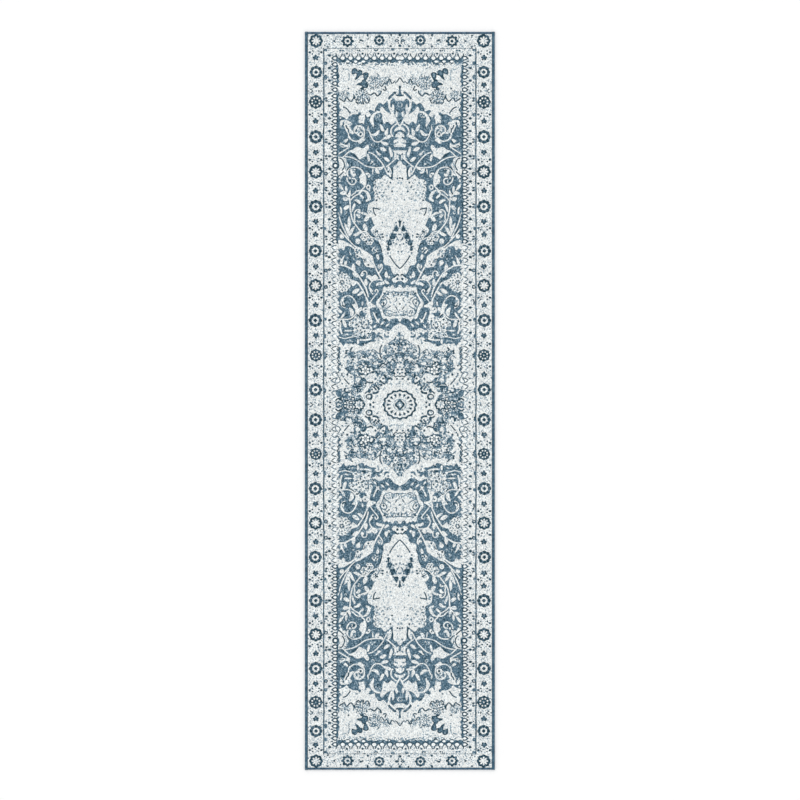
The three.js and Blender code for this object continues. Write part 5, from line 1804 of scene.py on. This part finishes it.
def latex_finish():
    finish = Finish("Latex coat", roughness=0.7)
    warp = finish.wave("X", 3 * MM, distortion=0.4)
    weft = finish.wave("Y", 3 * MM, distortion=0.4)
    threads = finish.math("MAXIMUM", warp, weft)
    # The colour follows the relief: darker in the hollows between the raised threads, a painted shade.
    color = finish.mix(threads, srgb(196, 189, 168), srgb(221, 215, 198))
    color = finish.shade(color, finish.noise(9, detail=4), 0.94, 1.04)
    finish.relief(threads, distance=0.35 * MM, strength=0.6)
    return finish.paint(color)


# %% Woven slab
WEAVE_CELL = 15 * MM


def woven_slab(low, high, lift, both_faces):
    """A slab between two corners whose grid points stand proud by turns."""
    across = round((high.x - low.x) / WEAVE_CELL)
    along = round((high.y - low.y) / WEAVE_CELL)
    bm = bmesh.new()
    bmesh.ops.create_grid(bm, x_segments=across, y_segments=along, size=0.5)
    bmesh.ops.scale(bm, verts=bm.verts[:], vec=(high.x - low.x, high.y - low.y, 1))
    middle = (low + high) / 2
    bmesh.ops.translate(bm, verts=bm.verts[:], vec=(middle.x, middle.y, low.z))
    drawn = bmesh.ops.extrude_face_region(bm, geom=bm.faces[:])["geom"]
    upper = {g for g in drawn if isinstance(g, bmesh.types.BMVert)}
    bmesh.ops.translate(bm, verts=list(upper), vec=(0, 0, high.z - low.z))
    for vert in bm.verts:
        column = round((vert.co.x - low.x) / (high.x - low.x) * across)
        row = round((vert.co.y - low.y) / (high.y - low.y) * along)
        if (column + row) % 2 and (both_faces or vert not in upper):
            vert.co.z += -lift if vert in upper else lift
    bmesh.ops.recalc_face_normals(bm, faces=bm.faces[:])
    return bm


# %% Ground cloth and latex coat
CLOTH_LIFT = 0.25 * MM
COAT_LIFT = 0.2 * MM

ground_bm = woven_slab(CLOTH_LOW, CLOTH_HIGH, CLOTH_LIFT, both_faces=True)
weave = [ground_finish()]
ground_cloth = finish_piece("ground_cloth_weave", ground_bm, weave, ["ground_cloth"])

COAT_LOW, COAT_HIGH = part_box("latex_coat")
coat_bm = woven_slab(COAT_LOW, COAT_HIGH, COAT_LIFT, both_faces=False)
latex_coat = finish_piece("latex_coat_waffle", coat_bm, [latex_finish()], ["latex_coat"])

# %% [markdown]
# ### End seams
# A row of lockstitch behind each serged end holds the last wefts. Each stitch is a short
# flattened bead of thread, and there are a few hundred of them, so each bead has only a few
# dozen faces.

# %% End seams
STITCH = 3.5 * MM
BEAD_LENGTH = 0.98  # share of the stitch
BEAD_WIDTH = 0.96  # share of the seam
BEAD_TURN = 3  # degrees


def thread_finish():
    finish = Finish("Seam thread", roughness=0.55, sheen=0.1)
    color = finish.shade(srgb(232, 229, 220), finish.noise(300), 0.92, 1.05)
    finish.relief(finish.wave("DIAGONAL", 0.35 * MM, distortion=1), distance=0.1 * MM, strength=0.6)
    return finish.paint(color)


seam_thread = thread_finish()


def stitch_row(bm, low, high, count):
    """A row of stitches along X that fills the box between two corners."""
    size = high - low
    pitch = size.x / count
    for k in range(count):
        bead = bmesh.ops.create_uvsphere(bm, u_segments=8, v_segments=6, radius=0.5)["verts"]
        bmesh.ops.rotate(bm, verts=bead, matrix=Matrix.Rotation(pi / 2, 3, "Y"))
        bmesh.ops.scale(bm, verts=bead, vec=(pitch * BEAD_LENGTH, size.y * BEAD_WIDTH, size.z))
        bmesh.ops.rotate(bm, verts=bead, matrix=Matrix.Rotation(radians(BEAD_TURN), 3, "Z"))
        place = ((k + 0.5) * pitch + low.x, (low.y + high.y) / 2, (low.z + high.z) / 2)
        bmesh.ops.translate(bm, verts=bead, vec=place)


for end_name in ("near", "far"):
    seam_low, seam_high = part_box(f"end_seam_{end_name}")
    seam_bm = bmesh.new()
    stitch_row(seam_bm, seam_low, seam_high, round((seam_high.x - seam_low.x) / STITCH))
    node = f"end_seam_{end_name}"
    finish_piece(f"{node}_stitches", seam_bm, [seam_thread], [node])


# %% [markdown]
# ### Care label
# A blank satin tape, folded once, is caught in the seam under one corner. Its side view is a
# flat hairpin, so that line is drawn, turned round the fold with spin, drawn out across the
# label's width and given the tape's thickness.

# %% Care label
TAPE = 0.14 * MM
FOLD_STEPS = 6
WIDTH_STEPS = 10


def satin_finish():
    finish = Finish("Label satin", roughness=0.38, sheen=0.3)
    color = finish.shade(srgb(244, 243, 238), finish.noise(90), 0.97, 1.02)
    finish.relief(finish.wave("Y", 0.4 * MM), distance=0.05 * MM, strength=0.5)
    return finish.paint(color)


label_low, label_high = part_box("care_label")


def folded_tape():
    bm = bmesh.new()
    radius = (label_high.z - label_low.z) / 2 - TAPE / 2
    middle = (label_low.z + label_high.z) / 2
    fold_y = label_high.y - TAPE / 2 - radius
    rows = [label_low.y + (fold_y - label_low.y) * k / FOLD_STEPS for k in range(FOLD_STEPS + 1)]
    line = [bm.verts.new((label_low.x, y, middle + radius)) for y in rows]
    for k in range(FOLD_STEPS):
        bm.edges.new((line[k], line[k + 1]))
    fold = (label_low.x, fold_y, middle)
    bmesh.ops.spin(bm, geom=[line[-1]], cent=fold, axis=(-1, 0, 0), angle=pi, steps=FOLD_STEPS)
    tip = min((v for v in bm.verts if v.co.z < middle), key=lambda v: v.co.y)
    for y in reversed(rows[:-1]):
        nxt = bm.verts.new((label_low.x, y, middle - radius))
        bm.edges.new((tip, nxt))
        tip = nxt
    for _ in range(WIDTH_STEPS):
        reach = max(v.co.x for v in bm.verts)
        side = [e for e in bm.edges if all(abs(v.co.x - reach) < 1e-7 for v in e.verts)]
        drawn = bmesh.ops.extrude_edge_only(bm, edges=side)["geom"]
        fresh = [g for g in drawn if isinstance(g, bmesh.types.BMVert)]
        bmesh.ops.translate(bm, verts=fresh, vec=((label_high.x - label_low.x) / WIDTH_STEPS, 0, 0))
    bmesh.ops.recalc_face_normals(bm, faces=bm.faces[:])
    bmesh.ops.solidify(bm, geom=bm.faces[:], thickness=TAPE)
    bmesh.ops.recalc_face_normals(bm, faces=bm.faces[:])
    return bm


care_label = finish_piece("care_label_tape", folded_tape(), [satin_finish()], ["care_label"])
